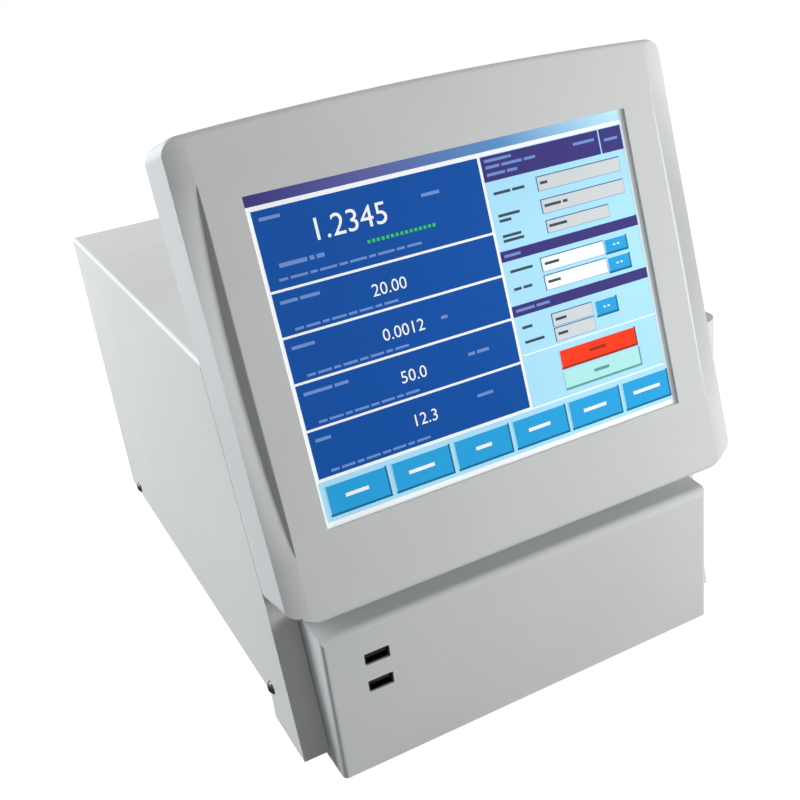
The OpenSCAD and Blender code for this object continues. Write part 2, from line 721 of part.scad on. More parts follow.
module base_pan() in_frame() color(paint) difference() {
    union() {
        block([-pan_in, pan_front, foot_h], [pan_in, pan_rear, floor_z]);
        block([-panel_w / 2 + floor_inset, -panel_front + 6, foot_h],
              [panel_w / 2 - floor_inset, pan_front + eps, floor_z]);
        mirrored() {
            block([pan_in - pan_t, pan_front, foot_h], [pan_in, pan_rear, shelf_z + pan_t]);
            block([pan_in - pan_t, pan_front, shelf_z], [pan_out, pan_rear, shelf_z + pan_t]);
            block([pan_out - pan_t, pan_front, shelf_z], [pan_out, pan_rear, side_z + pan_flange_h]);
        }
        block([-pan_in, pan_rear - pan_t, foot_h], [pan_in, pan_rear, side_z + pan_flange_h]);
    }
    for (x = [-1, 1], y = [cover_screw_front, cover_screw_rear])
        translate([x * pan_out, y, cover_screw_z]) rotate([0, 90, 0]) cylinder(h = 10, d = 4, center = true);
    for (x = [-1, 1], y = [foot_front, foot_rear])
        translate([x * foot_x, y, foot_h - eps]) cylinder(h = 2 * pan_t, d = 4.4);
    for (x = [-1, 1], y = [web_y + 8, cheek_rear - 6])
        translate([x * (cheek_x - 8), y, foot_h - eps]) cylinder(h = 2 * pan_t, d = 4);
    // window for the rear sockets
    block([-board_right - board_w, pan_rear - pan_t - eps, floor_z + standoff_h - 1],
          [-board_right, pan_rear + eps, side_z + pan_flange_h + eps]);
    for (p = rear_screws)
        upright_plate(pan_rear - pan_t - eps, pan_rear + eps) translate(p) circle(1.5);
}

module foot() difference() {
    rotate_extrude() polygon([[0, 0], [foot_d / 2 - 2.5, 0], [foot_d / 2 - 1.5, 1], [foot_d / 2, foot_h], [0, foot_h]]);
    translate([0, 0, -eps]) cylinder(h = 6 + eps, d = 9);
    translate([0, 0, 5]) cylinder(h = foot_h, d = 4.4);
}

module foot_front_left() in_frame() color(dark) translate([-foot_x, foot_front, 0]) foot();
module foot_front_right() in_frame() color(dark) translate([foot_x, foot_front, 0]) foot();
module foot_rear_left() in_frame() color(dark) translate([-foot_x, foot_rear, 0]) foot();
module foot_rear_right() in_frame() color(dark) translate([foot_x, foot_rear, 0]) foot();

module foot_screws() in_frame() color(steel)
    for (x = [-1, 1], y = [foot_front, foot_rear])
        translate([x * foot_x, y, 6]) rotate([180, 0, 0]) screw(3.9, 8, 2.4, floor_z - 6 - 0.5, 4);

// ---- rear panel and what it carries ----

panel_low = side_z + 1;
panel_high = roof_z - cover_t - fit;
rear_half = shell_in - fit;
rear_screws = [for (x = [-1, 0, 1]) [x * (rear_half - 14), side_z + 18]];
fan_hole_pitch = fan_w - 8.5;
fan_bore = fan_w - 4;
inlet_cut_w = 46;
inlet_cut_h = 62;
board_right = 10; // right edge of the main board, left of the middle
board_top = floor_z + standoff_h + board_t;
ethernet_x = board_right + board_w - 18;
usb_rear_x = ethernet_x - 24;
serial_x = usb_rear_x - 32;
socket_fit = 0.6;

module fan_holes(r) for (x = [-1, 1], z = [-1, 1])
    translate([-fan_x + x * fan_hole_pitch / 2, fan_z + z * fan_hole_pitch / 2]) circle(r);

module rear_panel() in_frame() color(paint) difference() {
    union() {
        block([-rear_half, rear_in, panel_low], [rear_half, rear_y, panel_high]);
        block([-pan_in, rear_in, foot_h + 1], [pan_in, rear_y, panel_low + eps]);
        block([-rear_half, rear_in - 12, panel_high - cover_t], [rear_half, rear_in + 0.5, panel_high]);
        mirrored() block([rear_half - cover_t, rear_in - 12, side_z + pan_flange_h + 1],
                         [rear_half, rear_in + 0.5, panel_high]);
    }
    upright_plate(rear_in - eps, rear_y + eps) {
        translate([-fan_x, fan_z]) circle(fan_bore / 2);
        fan_holes(2.2);
        translate([inlet_x, inlet_z]) square([inlet_cut_w, inlet_cut_h], center = true);
        translate([-ethernet_x, board_top + 6.8]) square([16 + socket_fit, 13.6 + socket_fit], center = true);
        translate([-usb_rear_x, board_top + 7.9]) square([14.4 + socket_fit, 15.8 + socket_fit], center = true);
        translate([-serial_x, board_top + 6.3]) square([19.4 + socket_fit, 10.8 + socket_fit], center = true);
        for (x = [-1, 1]) translate([-serial_x + x * 12.5, board_top + 6.3]) circle(1.7);
        // ventilation slots over the power supply
        for (i = [0:7]) translate([40 + i * 9, side_z + pan_flange_h + 11.5]) rounded_square(3.4, 20, 1.6);
        for (p = rear_screws) translate(p) circle(1.8);
    }
}

module rear_panel_screws() in_frame() color(steel)
    for (p = rear_screws) translate([p[0], rear_y, p[1]]) rotate([-90, 0, 0]) screw(2.9, 6, 2.2, 6, 4);

module fan_frame() in_frame() color(dark) translate([-fan_x, rear_in, fan_z]) rotate([90, 0, 0]) {
    difference() {
        linear_extrude(fan_depth) rounded_square(fan_w, fan_w, 4);
        translate([0, 0, -eps]) cylinder(h = fan_depth + 2 * eps, d = fan_bore);
        for (x = [-1, 1], y = [-1, 1]) translate([x * fan_hole_pitch / 2, y * fan_hole_pitch / 2, -eps])
            cylinder(h = fan_depth + 2 * eps, d = 4.3);
        // waist between the two flanges
        for (a = [0:90:270]) rotate([0, 0, a]) translate([fan_w / 2, 0, fan_depth / 2])
            cube([2, fan_w - 22, fan_depth - 8], center = true);
    }
    // motor seat on three arms, with the bearing bore
    difference() {
        union() {
            translate([0, 0, fan_depth - 3]) cylinder(h = 3, d = 34);
            for (a = [30, 150, 270]) rotate([0, 0, a]) translate([14, -2.5, fan_depth - 3])
                cube([fan_bore / 2 - 13, 5, 3]);
            translate([0, 0, fan_depth - 14]) cylinder(h = 12, d = 8);
        }
        translate([0, 0, fan_depth - 15]) cylinder(h = 20, d = 3 + 2 * run);
    }
}

module fan_rotor() in_frame() color(dark) translate([-fan_x, rear_in, fan_z]) rotate([90, 0, 0]) {
    hub_low = 2;
    hub_high = fan_depth - 5;
    difference() {
        translate([0, 0, hub_low]) cylinder(h = hub_high - hub_low, d = 32);
        translate([0, 0, hub_low + 2]) cylinder(h = hub_high, d = 28);
    }
    translate([0, 0, hub_low + 1]) cylinder(h = fan_depth - hub_low - 2, d = 3);
    for (i = [0:fan_blades - 1]) rotate([0, 0, i * 360 / fan_blades]) intersection() {
        translate([0, 0, hub_low]) cylinder(h = hub_high - hub_low, d = fan_bore - 2.4);
        translate([15.2, 0, (hub_low + hub_high) / 2]) rotate([42, 0, 0])
            translate([0, -13, -0.8]) cube([fan_bore / 2, 26, 1.6]);
    }
}

guard_wire = 1.8;
eye_t = 1.5; // thickness of the guard's flat eyes
module fan_guard() in_frame() color(steel) translate([-fan_x, rear_y, fan_z]) rotate([-90, 0, 0]) {
    for (r = [12, 20.5, 29, 37.5]) translate([0, 0, guard_t - guard_wire / 2])
        rotate_extrude() translate([r, 0]) circle(guard_wire / 2, $fn = 24);
    difference() {
        for (a = [45, 135]) rotate([0, 0, a]) translate([0, 0, guard_wire * 0.9])
            rotate([0, 90, 0]) cylinder(h = fan_hole_pitch * sqrt(2), d = guard_wire, center = true, $fn = 24);
        for (x = [-1, 1], y = [-1, 1]) translate([x * fan_hole_pitch / 2, y * fan_hole_pitch / 2, -eps])
            union() {
                cylinder(h = 10, d = 5);
                translate([0, 0, eps + eye_t]) cylinder(h = 10, d = 7.8);
            }
    }
    for (x = [-1, 1], y = [-1, 1]) translate([x * fan_hole_pitch / 2, y * fan_hole_pitch / 2, 0]) difference() {
        cylinder(h = eye_t, d = 9);
        translate([0, 0, -eps]) cylinder(h = 6, d = 4.4);
    }
}

module fan_screws() in_frame() color(dark) for (x = [-1, 1], z = [-1, 1])
    translate([-fan_x + x * fan_hole_pitch / 2, rear_y + eye_t, fan_z + z * fan_hole_pitch / 2])
        rotate([-90, 0, 0]) screw(3.8, 7, 2.1, fan_depth + 6, 4);

inlet_flange_t = 3;
rocker_z = 20; // height of the rocker above the inlet's centre
socket_z = -3; // height of the mains socket
drawer_z = -22;
drawer_w = 26;
drawer_h = 8;
drawer_len = 24;
pivot_y = -0.5; // rocker pivot behind the panel's face
pivot_d = 3;
rocker_w = 14.6;
rocker_half = 9.8;
rocker_swing = 16; // from off to on

module power_inlet() in_frame() color(dark) translate([inlet_x, rear_y, inlet_z]) {
    difference() {
        union() {
            upright_plate(0, inlet_flange_t) rounded_square(inlet_cut_w + 6, inlet_cut_h + 8, 3);
            upright_plate(-30, 0.5) square([inlet_cut_w - 2 * fit, inlet_cut_h - 2 * fit], center = true);
            for (x = [-14, 0, 14], z = [-6, 6]) block([x - 3, -38, z - 0.5], [x + 3, -29, z + 0.5]);
        }
        translate([0, 0, socket_z]) upright_plate(-15, inlet_flange_t + eps) polygon([
            [-12.2, -8.2], [12.2, -8.2], [12.2, 3.5], [7.5, 8.2], [-7.5, 8.2], [-12.2, 3.5]]);
        // well of the rocker and its pivot
        translate([0, 0, rocker_z]) {
            block([-rocker_half - 0.9, -8, -rocker_w / 2 - fit],
                  [rocker_half + 0.9, inlet_flange_t + eps, rocker_w / 2 + fit]);
            translate([0, pivot_y, 0]) cylinder(h = rocker_w + 5, d = pivot_d + 2 * run, center = true);
        }
        // shaft of the fuse drawer
        translate([0, 0, drawer_z]) block([-drawer_w / 2 - fit, -drawer_len - fit, -drawer_h / 2 - fit],
                                          [drawer_w / 2 + fit, inlet_flange_t + eps, drawer_h / 2 + fit]);
    }
    for (p = [[-7, -2.4], [7, -2.4], [0, 1.4]])
        translate([p[0], 0, socket_z + p[1]]) block([-1, -16, -2], [1, -1, 2]);
}

module power_rocker() in_frame() color([0.15, 0.15, 0.16])
    translate([inlet_x, rear_y + pivot_y, inlet_z + rocker_z]) rotate([0, 0, -rocker_swing / 2]) {
        cylinder(h = rocker_w + 4, d = pivot_d, center = true);
        linear_extrude(rocker_w, center = true) polygon([
            [-rocker_half, 4.3], [0, 2.7], [rocker_half, 4.3], [rocker_half - 0.8, -4], [-rocker_half + 0.8, -4]]);
    }

module fuse_drawer() in_frame() color([0.2, 0.2, 0.2]) translate([inlet_x, rear_y, inlet_z + drawer_z]) difference() {
    union() {
        block([-drawer_w / 2, -drawer_len, -drawer_h / 2], [drawer_w / 2, inlet_flange_t, drawer_h / 2]);
        block([-drawer_w / 2 + 4, inlet_flange_t - 0.5, -1.5], [drawer_w / 2 - 4, inlet_flange_t + 1.4, 1.5]);
    }
    for (x = [-6.5, 6.5]) translate([x, -11.5, 0]) block([-3, -11, -2.6], [3, 11, drawer_h]);
}

module fuses() in_frame() color([0.8, 0.82, 0.85]) translate([inlet_x, rear_y, inlet_z + drawer_z])
    for (x = [-6.5, 6.5]) translate([x, -11.5, 0]) rotate([90, 0, 0]) {
        cylinder(h = 19, d = 4.6, center = true);
        for (s = [-1, 1]) translate([0, 0, s * 7.5]) cylinder(h = 5, d = 5.2, center = true);
    }

// ---- sample ports ----

pod_face = 4; // thickness of the pod's outer wall
plate_t = 1.5;

module pod_plan(i) {
    r = max(pod_r - i, 1);
    translate([half_w - pod_out, pod_front + i]) square([2 * pod_out - r - i, pod_len - 2 * i]);
    translate([half_w - pod_out, pod_front + r + i]) square([2 * pod_out - i, pod_len - 2 * r - 2 * i]);
    for (y = [pod_front + r + i, pod_front + pod_len - r - i]) translate([pod_x - r - i, y]) circle(r);
}

port_holes = [[port_y, port_low], [port_y, port_high], [port_y, air_z]];

module port_pod() in_frame() color(moulding) difference() {
    union() {
        difference() {
            translate([0, 0, pod_z]) linear_extrude(pod_h) pod_plan(0);
            difference() {
                translate([0, 0, pod_z + pod_wall]) linear_extrude(pod_h - 2 * pod_wall) pod_plan(pod_wall);
                block([pod_x - pod_face, 0, 0], [pod_x, body_rear, roof_z]);
            }
        }
        for (y = pod_screw_y) translate([half_w, y, pod_z + pod_h / 2]) rotate([0, 90, 0])
            cylinder(h = pod_out - 2, d = 8);
    }
    block([0, 0, 0], [half_w, body_rear, roof_z]);
    for (y = pod_screw_y) translate([half_w - eps, y, pod_z + pod_h / 2]) rotate([0, 90, 0]) cylinder(h = 13, d = 3);
    // recess of the plate and the holes of the fittings
    block([pod_x - plate_t, pod_front + pod_r, pod_z + 5], [pod_x + eps, pod_front + pod_len - pod_r, pod_z + pod_h - 3]);
    for (p = port_holes) translate([pod_x - 10, p[0], p[1]]) rotate([0, 90, 0]) cylinder(h = 20, d = port_d + 0.4);
}

module port_plate() in_frame() color(steel) difference() {
    block([pod_x - plate_t, pod_front + pod_r + fit, pod_z + 5 + fit],
          [pod_x, pod_front + pod_len - pod_r - fit, pod_z + pod_h - 3 - fit]);
    for (p = port_holes) translate([pod_x - 10, p[0], p[1]]) rotate([0, 90, 0]) cylinder(h = 20, d = port_d + 0.4);
}

fitting_tail = 16; // how far a fitting reaches in from the pod's face
// a bulkhead fitting along X, its flange seated on X = 0, with its lock nut behind the wall
module fitting(outer_d, tube_bore, mouth_bore, mouth_len) {
    rotate([0, 90, 0]) difference() {
        union() {
            cylinder(h = 2.2, d = port_d + 3.6);
            cylinder(h = port_out, d = outer_d);
            if (outer_d == port_d) translate([0, 0, port_out - 3]) cylinder(h = 1.6, d = port_d + 1.4);
            translate([0, 0, -9]) cylinder(h = 10, d = port_d);
            translate([0, 0, -fitting_tail]) cylinder(h = fitting_tail, d = port_d - 3);
        }
        translate([0, 0, -fitting_tail - eps]) cylinder(h = fitting_tail + port_out + 2 * eps, d = tube_bore);
        translate([0, 0, port_out - mouth_len]) cylinder(h = mouth_len + eps, d = mouth_bore);
    }
    translate([-pod_face, 0, 0]) rotate([0, -90, 0]) difference() {
        cylinder(h = 3.5, d = port_d + 4, $fn = 6);
        translate([0, 0, -eps]) cylinder(h = 6, d = port_d + 2 * run);
    }
}

module inlet_fitting() in_frame() color([0.93, 0.94, 0.95])
    translate([pod_x, port_y, port_low]) fitting(port_d, glass_bore, port_bore, 8);
module outlet_fitting() in_frame() color([0.93, 0.94, 0.95])
    translate([pod_x, port_y, port_high]) fitting(port_d, glass_bore, port_bore, 8);
module air_nozzle() in_frame() color(steel)
    translate([pod_x, port_y, air_z]) fitting(air_d + 1, air_bore, air_bore, 2);

// ---- measuring cell ----

tube_bend = 10; // radius at the middle of a tube's bends
air_d = 4;
air_bore = 2.4;
cell_front = port_y + tube_bend + 6;
glass_front = cell_front - 2;
tail_x = pod_x - fitting_tail; // inner end of the fittings
block_low = cell_z - cell_h / 2;
sink_top = block_low - module_t;
sink_low = sink_top - sink_h;
sink_w = cell_w + 2 * foam_t + 4;
sink_over = foam_t + 1;
sink_base = 5;
chamber_w = 12;

module ring(d, bore) difference() {
    circle(d / 2);
    circle(bore / 2);
}
// a straight pipe along Z
module pipe(len, d, bore) linear_extrude(len) ring(d, bore);
// a quarter bend from the origin, starting along +Z and turning towards +X
module elbow(r, d, bore) translate([r, 0, 0]) rotate([90, 0, 180]) rotate_extrude(angle = 90, $fn = 96)
    translate([r, 0]) ring(d, bore);

// from the glass forward, round to the right and into its fitting
module sample_tube(z) translate([cell_x, glass_front, z]) {
    run_y = glass_front - port_y - tube_bend;
    rotate([90, 0, 0]) {
        pipe(run_y, glass_d, glass_bore);
        translate([0, 0, run_y]) elbow(tube_bend, glass_d, glass_bore);
    }
    translate([tube_bend, port_y - glass_front, 0]) rotate([0, 90, 0])
        pipe(tail_x - cell_x - tube_bend, glass_d, glass_bore);
}
module inlet_tube() in_frame() color([0.90, 0.92, 0.94]) sample_tube(port_low);
module outlet_tube() in_frame() color([0.90, 0.92, 0.94]) sample_tube(port_high);

module u_tube() in_frame() color([0.75, 0.88, 0.92]) translate([cell_x, glass_front, cell_z]) {
    leg = cell_len - 26;
    for (z = [-1, 1]) translate([0, 0, z * leg_pitch / 2]) rotate([-90, 0, 0]) pipe(leg, glass_d, glass_bore);
    translate([0, leg, 0]) rotate([0, -90, 0]) rotate_extrude(angle = 180, $fn = 96)
        translate([leg_pitch / 2, 0]) ring(glass_d, glass_bore);
}

module cell_block() in_frame() color([0.75, 0.76, 0.78]) translate([cell_x, cell_front, cell_z]) difference() {
    block([-cell_w / 2, 0, -cell_h / 2], [cell_w / 2, cell_len, cell_h / 2]);
    // chamber of the vibrating tube, closed by the lid on the right
    block([-chamber_w / 2, 16, -leg_pitch / 2 - 6], [cell_w / 2 + eps, cell_len - 6, leg_pitch / 2 + 6]);
    block([cell_w / 2 - 4, 10, -cell_h / 2 + 2], [cell_w / 2 + eps, cell_len - 2, cell_h / 2 - 2]);
    for (z = [-1, 1]) translate([0, -eps, z * leg_pitch / 2]) rotate([-90, 0, 0]) cylinder(h = 20, d = glass_d + 0.2);
    // bore of the temperature sensor
    translate([-cell_w / 4, cell_len - 30, 0]) rotate([-90, 0, 0]) cylinder(h = 40, d = 3);
}

module cell_lid() in_frame() color([0.70, 0.71, 0.73]) translate([cell_x, cell_front, cell_z]) difference() {
    block([cell_w / 2 - 4, 10 + fit, -cell_h / 2 + 2 + fit], [cell_w / 2, cell_len - 2 - fit, cell_h / 2 - 2 - fit]);
    for (y = [13, cell_len - 5], z = [-1, 1]) translate([0, y, z * (cell_h / 2 - 5)]) rotate([0, 90, 0])
        cylinder(h = cell_w, d = 3.2);
}

module cell_foam() in_frame() color([0.30, 0.30, 0.32]) translate([cell_x, cell_front, 0]) difference() {
    block([-cell_w / 2 - fit - foam_t, -fit - foam_t, sink_top],
          [cell_w / 2 + fit + foam_t, cell_len + fit + foam_t, cell_z + cell_h / 2 + fit + foam_t]);
    block([-cell_w / 2 - fit, -fit, sink_top - eps], [cell_w / 2 + fit, cell_len + fit, cell_z + cell_h / 2 + fit]);
    for (z = [-1, 1]) translate([0, eps, cell_z + z * leg_pitch / 2]) rotate([90, 0, 0])
        cylinder(h = foam_t + 3, d = glass_d + 1.4);
}

module thermoelectric_modules() in_frame() color([0.92, 0.92, 0.90])
    for (y = [0.25, 0.75]) translate([cell_x - module_w / 2, cell_front + y * cell_len - module_w / 2, sink_top])
        cube([module_w, module_w, module_t]);

module heat_sink() in_frame() color([0.70, 0.71, 0.72])
    translate([cell_x - sink_w / 2, cell_front + cell_len + sink_over, 0]) rotate([90, 0, 0])
        linear_extrude(cell_len + 2 * sink_over) {
            translate([0, sink_top - sink_base]) square([sink_w, sink_base]);
            for (i = [0:sink_fins - 1]) translate([i * (sink_w - 2) / (sink_fins - 1), sink_low])
                square([2, sink_h - sink_base + 0.5]);
        }

stand_front = cell_front - 4;
stand_rear = cell_front + cell_len - 10;
module cell_stand() in_frame() color(steel) difference() {
    union() {
        block([cell_x - sink_w / 2, stand_front, sink_low - cover_t], [cell_x + sink_w / 2, stand_rear, sink_low]);
        for (y = [stand_front, stand_rear - cover_t])
            block([cell_x - sink_w / 2, y, floor_z], [cell_x + sink_w / 2, y + cover_t, sink_low - 0.5]);
        block([cell_x - sink_w / 2, stand_front, floor_z], [cell_x + sink_w / 2, stand_front + 14, floor_z + cover_t]);
        block([cell_x - sink_w / 2, stand_rear - 14, floor_z], [cell_x + sink_w / 2, stand_rear, floor_z + cover_t]);
    }
    for (y = [stand_front, stand_rear], x = [-20, 0, 20]) translate([cell_x + x, y, (floor_z + sink_low) / 2])
        rotate([90, 0, 0]) cylinder(h = 10, d = 14, center = true);
}

// ---- drying-air pump ----

pump_x = -80;
pump_front = port_y + 20;
pump_z = floor_z + 17;
pump_air_z = pump_z + 9;
module air_pump_head() in_frame() color(dark) translate([pump_x, pump_front, pump_z]) {
    difference() {
        upright_plate(0, 32) rounded_square(34, 34, 3);
        for (x = [-1, 1], z = [-1, 1]) translate([x * 12.5, -eps, z * 12.5]) rotate([-90, 0, 0]) cylinder(h = 4, d = 5.5);
    }
    translate([0, 0, pump_air_z - pump_z]) rotate([90, 0, 0]) pipe(6, air_d, air_bore);
    translate([0, 0, -9]) rotate([90, 0, 0]) pipe(6, air_d, air_bore);
}
module air_pump_motor() in_frame() color(steel) translate([pump_x, pump_front + 32, pump_z]) rotate([-90, 0, 0]) {
    cylinder(h = 38, d = 27.6);
    cylinder(h = 40.5, d = 10);
    for (x = [-1, 1]) translate([x * 8 - 1.5, -0.4, 37.5]) cube([3, 0.8, 6]);
}

air_rise_x = cheek_x + 10; // the air tube goes up here
module air_tube() in_frame() color([0.85, 0.87, 0.88]) {
    y0 = pump_front - 6;
    r = y0 - port_y - 2;
    translate([pump_x, y0, pump_air_z]) rotate([90, 0, 0]) {
        pipe(2, air_d, air_bore);
        translate([0, 0, 2]) elbow(r, air_d, air_bore);
    }
    across = air_rise_x - tube_bend - pump_x - r;
    translate([pump_x + r, port_y, pump_air_z]) rotate([0, 90, 0]) pipe(across, air_d, air_bore);
    // up beside the cell, then out to the nozzle
    translate([air_rise_x - tube_bend, port_y, pump_air_z]) rotate([0, 90, 0]) mirror([1, 0, 0])
        elbow(tube_bend, air_d, air_bore);
    up = air_z - pump_air_z - 2 * tube_bend;
    translate([air_rise_x, port_y, pump_air_z + tube_bend]) {
        pipe(up, air_d, air_bore);
        translate([0, 0, up]) elbow(tube_bend, air_d, air_bore);
    }
    translate([air_rise_x + tube_bend, port_y, air_z]) rotate([0, 90, 0])
        pipe(tail_x - air_rise_x - tube_bend, air_d, air_bore);
}

// ---- electronics ----

board_x0 = -board_right - board_w;
board_y0 = rear_in - 1 - board_len;
board_holes = [for (x = [6, board_w - 6], y = [8, board_len - 26]) [board_x0 + x, board_y0 + y]];

module main_board() in_frame() color(board_green) {
    difference() {
        block([board_x0, board_y0, board_top - board_t], [board_x0 + board_w, board_y0 + board_len, board_top]);
        for (p = board_holes) translate([p[0], p[1], board_top - 5]) cylinder(h = 10, d = 3.4);
    }
    translate([0, 0, board_top - 0.3]) {
        translate([-60, board_y0 + 1.5, 0]) cube([30, 9, 5.3]); // socket of the flat cable
        translate([board_x0 + 34, board_y0 + 48, 0]) {
            cube([38, 38, 3.3]);
            for (i = [0:6]) translate([1 + i * 5.6, 1, 0]) cube([2, 36, 12.3]);
        }
        translate([board_x0 + 16, board_y0 + 22, 0]) cube([66, 8, 6.3]);
        for (i = [0:3]) translate([board_x0 + board_w - 12, board_y0 + 48 + i * 13, 0]) cylinder(h = 10.3, d = 8);
    }
}

module board_standoffs() in_frame() color(steel) for (p = board_holes) translate([p[0], p[1], floor_z]) {
    difference() {
        cylinder(h = standoff_h, d = 7, $fn = 6);
        translate([0, 0, 1]) cylinder(h = standoff_h, d = 3);
    }
    translate([0, 0, standoff_h + board_t]) screw(2.9, 6, 2.2, board_t + 5, 4);
}

module ethernet_port() in_frame() color(steel) translate([-ethernet_x, rear_y + 0.8, board_top]) difference() {
    block([-8, -21, 0], [8, 0, 13.6]);
    block([-5.9, -14, 3], [5.9, eps, 11]);
    block([-3, -14, 1.4], [3, eps, 3.5]);
}

module rear_usb_ports() in_frame() color(steel) translate([-usb_rear_x, rear_y + 0.8, board_top]) {
    difference() {
        block([-7.2, -17, 0], [7.2, 0, 15.8]);
        for (z = [4.2, 11.6]) translate([0, 0, z]) block([-6.2, -13, -2.6], [6.2, eps, 2.6]);
    }
    for (z = [4.2, 11.6]) translate([0, 0, z]) block([-5.4, -14, 0], [5.4, -1, 1.8]);
}

module d_shape(i) polygon([[-9.2 + i, 4.9 - i], [9.2 - i, 4.9 - i], [8 - i, -4.9 + i], [-8 + i, -4.9 + i]]);
module serial_port() in_frame() color(steel) translate([-serial_x, 0, board_top + 6.3]) {
    difference() {
        union() {
            block([-15.4, rear_in - 12, -6.3], [15.4, rear_in, 6.3]);
            upright_plate(rear_in - eps, rear_y + 4) d_shape(0);
        }
        upright_plate(rear_in - 2, rear_y + 4 + eps) d_shape(0.6);
    }
    for (i = [0:4]) upright_plate(rear_in - 3, rear_y + 3) translate([-5.5 + i * 2.75, 1.4]) circle(0.5, $fn = 16);
    for (i = [0:3]) upright_plate(rear_in - 3, rear_y + 3) translate([-4.1 + i * 2.75, -1.4]) circle(0.5, $fn = 16);
    for (x = [-1, 1]) translate([x * 12.5, 0, 0]) {
        upright_plate(rear_in - 0.5, rear_y + 0.1) circle(1.5);
        upright_plate(rear_y, rear_y + 4) circle(2.7, $fn = 6);
    }
}

supply_x = 15;
supply_y = rear_in - 14 - supply_len;
module power_supply() in_frame() color(steel) difference() {
    block([supply_x, supply_y, floor_z], [supply_x + supply_w, supply_y + supply_len, floor_z + supply_h]);
    // open terminal block at the front
    block([supply_x + 4, supply_y - eps, floor_z + 8], [supply_x + supply_w - 4, supply_y + 14, floor_z + supply_h + eps]);
    for (i = [0:9], j = [0:4]) translate([supply_x + 14 + i * (supply_w - 28) / 9, supply_y + 32 + j * 19, floor_z + supply_h])
        cylinder(h = 3, d = 4, center = true);
}

// ---- drawing ----

base_pan();
foot_front_left();
foot_front_right();
foot_rear_left();
foot_rear_right();
foot_screws();
wrap_cover();
cover_screws();
rear_panel();
rear_panel_screws();
front_frame();
frame_screws();
display_bezel();
bezel_screws();
screen_gasket();
touch_panel();
lcd_module();
lcd_brackets();
lcd_screws();
display_board();
display_ribbon();
display_back_cover();
back_cover_screws();
lower_front_panel();
body_screws();
usb_board();
usb_board_screws();
usb_port_upper();
usb_port_lower();
port_pod();
port_plate();
inlet_fitting();
outlet_fitting();
air_nozzle();
inlet_tube();
outlet_tube();
air_tube();
u_tube();
cell_block();
cell_lid();
cell_foam();
thermoelectric_modules();
heat_sink();
cell_stand();
air_pump_motor();
air_pump_head();
power_inlet();
power_rocker();
fuse_drawer();
fuses();
fan_frame();
fan_rotor();
fan_guard();
fan_screws();
main_board();
board_standoffs();
ethernet_port();
rear_usb_ports();
serial_port();
power_supply();
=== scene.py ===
# Benchtop density meter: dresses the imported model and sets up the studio
from math import copysign, cos, pi, radians, sin
import bpy
from mathutils import Vector, Matrix


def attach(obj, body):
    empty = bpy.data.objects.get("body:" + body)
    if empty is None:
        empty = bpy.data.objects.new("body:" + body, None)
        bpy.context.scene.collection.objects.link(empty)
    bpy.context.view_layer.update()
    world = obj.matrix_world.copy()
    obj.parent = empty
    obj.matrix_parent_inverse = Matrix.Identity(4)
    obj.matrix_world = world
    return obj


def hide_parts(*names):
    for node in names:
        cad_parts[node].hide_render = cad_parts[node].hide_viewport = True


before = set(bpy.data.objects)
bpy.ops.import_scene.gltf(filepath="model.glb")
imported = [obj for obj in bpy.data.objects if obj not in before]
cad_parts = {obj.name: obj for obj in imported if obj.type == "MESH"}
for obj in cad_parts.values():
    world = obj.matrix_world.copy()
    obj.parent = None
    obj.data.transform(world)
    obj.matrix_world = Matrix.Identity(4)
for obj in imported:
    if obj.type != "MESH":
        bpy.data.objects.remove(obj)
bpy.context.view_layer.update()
mm = 0.001

# places in the CAD are given from the screen's centre, the frame's origin lies under the middle
place = {"midX": 24.8, "midY": 154.348, "tilt": 14.6, "screenZ": 232.0}
slope = radians(place["tilt"])

# X to the right, Y up along the screen, Z out of the screen, in millimetres
faceMatrix = (Matrix.Translation(Vector((-place["midX"], -place["midY"], place["screenZ"])) * mm)
              @ Matrix.Rotation(pi / 2 - slope, 4, 'X'))


def linear(code):
    code = code.lstrip("#")
    parts = [int(code[i:i + 2], 16) / 255 for i in (0, 2, 4)]
    return tuple(c / 12.92 if c <= 0.04045 else ((c + 0.055) / 1.055) ** 2.4 for c in parts) + (1.0,)


# modelling helpers, all through the usual operators

def deselect():
    if bpy.context.object and bpy.context.object.mode != 'OBJECT':
        bpy.ops.object.mode_set(mode='OBJECT')
    bpy.ops.object.select_all(action='DESELECT')


def addBox(name, size, centre):
    deselect()
    bpy.ops.mesh.primitive_cube_add(size=1, location=Vector(centre) * mm)
    box = bpy.context.object
    box.name = name
    box.scale = Vector(size) * mm
    bpy.ops.object.transform_apply(location=True, rotation=True, scale=True)
    return box


def pickEdges(piece, wanted):
    # wanted(a, b) gets the two ends of an edge in millimetres
    deselect()
    piece.select_set(True)
    bpy.context.view_layer.objects.active = piece
    bpy.ops.object.mode_set(mode='EDIT')
    bpy.ops.mesh.select_mode(type='EDGE')
    bpy.ops.mesh.select_all(action='DESELECT')
    bpy.ops.object.mode_set(mode='OBJECT')
    mesh = piece.data
    for edge in mesh.edges:
        a, b = (mesh.vertices[i].co / mm for i in edge.vertices)
        edge.select = bool(wanted(a, b))
    bpy.ops.object.mode_set(mode='EDIT')


def bevelPicked(width, segments=4):
    bpy.ops.mesh.bevel(offset=width * mm, offset_type='OFFSET', segments=segments, profile=0.5, clamp_overlap=True)
    bpy.ops.object.mode_set(mode='OBJECT')


def applyAll(piece):
    deselect()
    piece.select_set(True)
    bpy.context.view_layer.objects.active = piece
    for modifier in list(piece.modifiers):
        bpy.ops.object.modifier_apply(modifier=modifier.name)


def cut(piece, cutter, how='DIFFERENCE'):
    step = piece.modifiers.new("cut", 'BOOLEAN')
    step.operation = how
    step.object = cutter
    step.solver = 'EXACT'
    applyAll(piece)
    bpy.data.objects.remove(cutter, do_unlink=True)


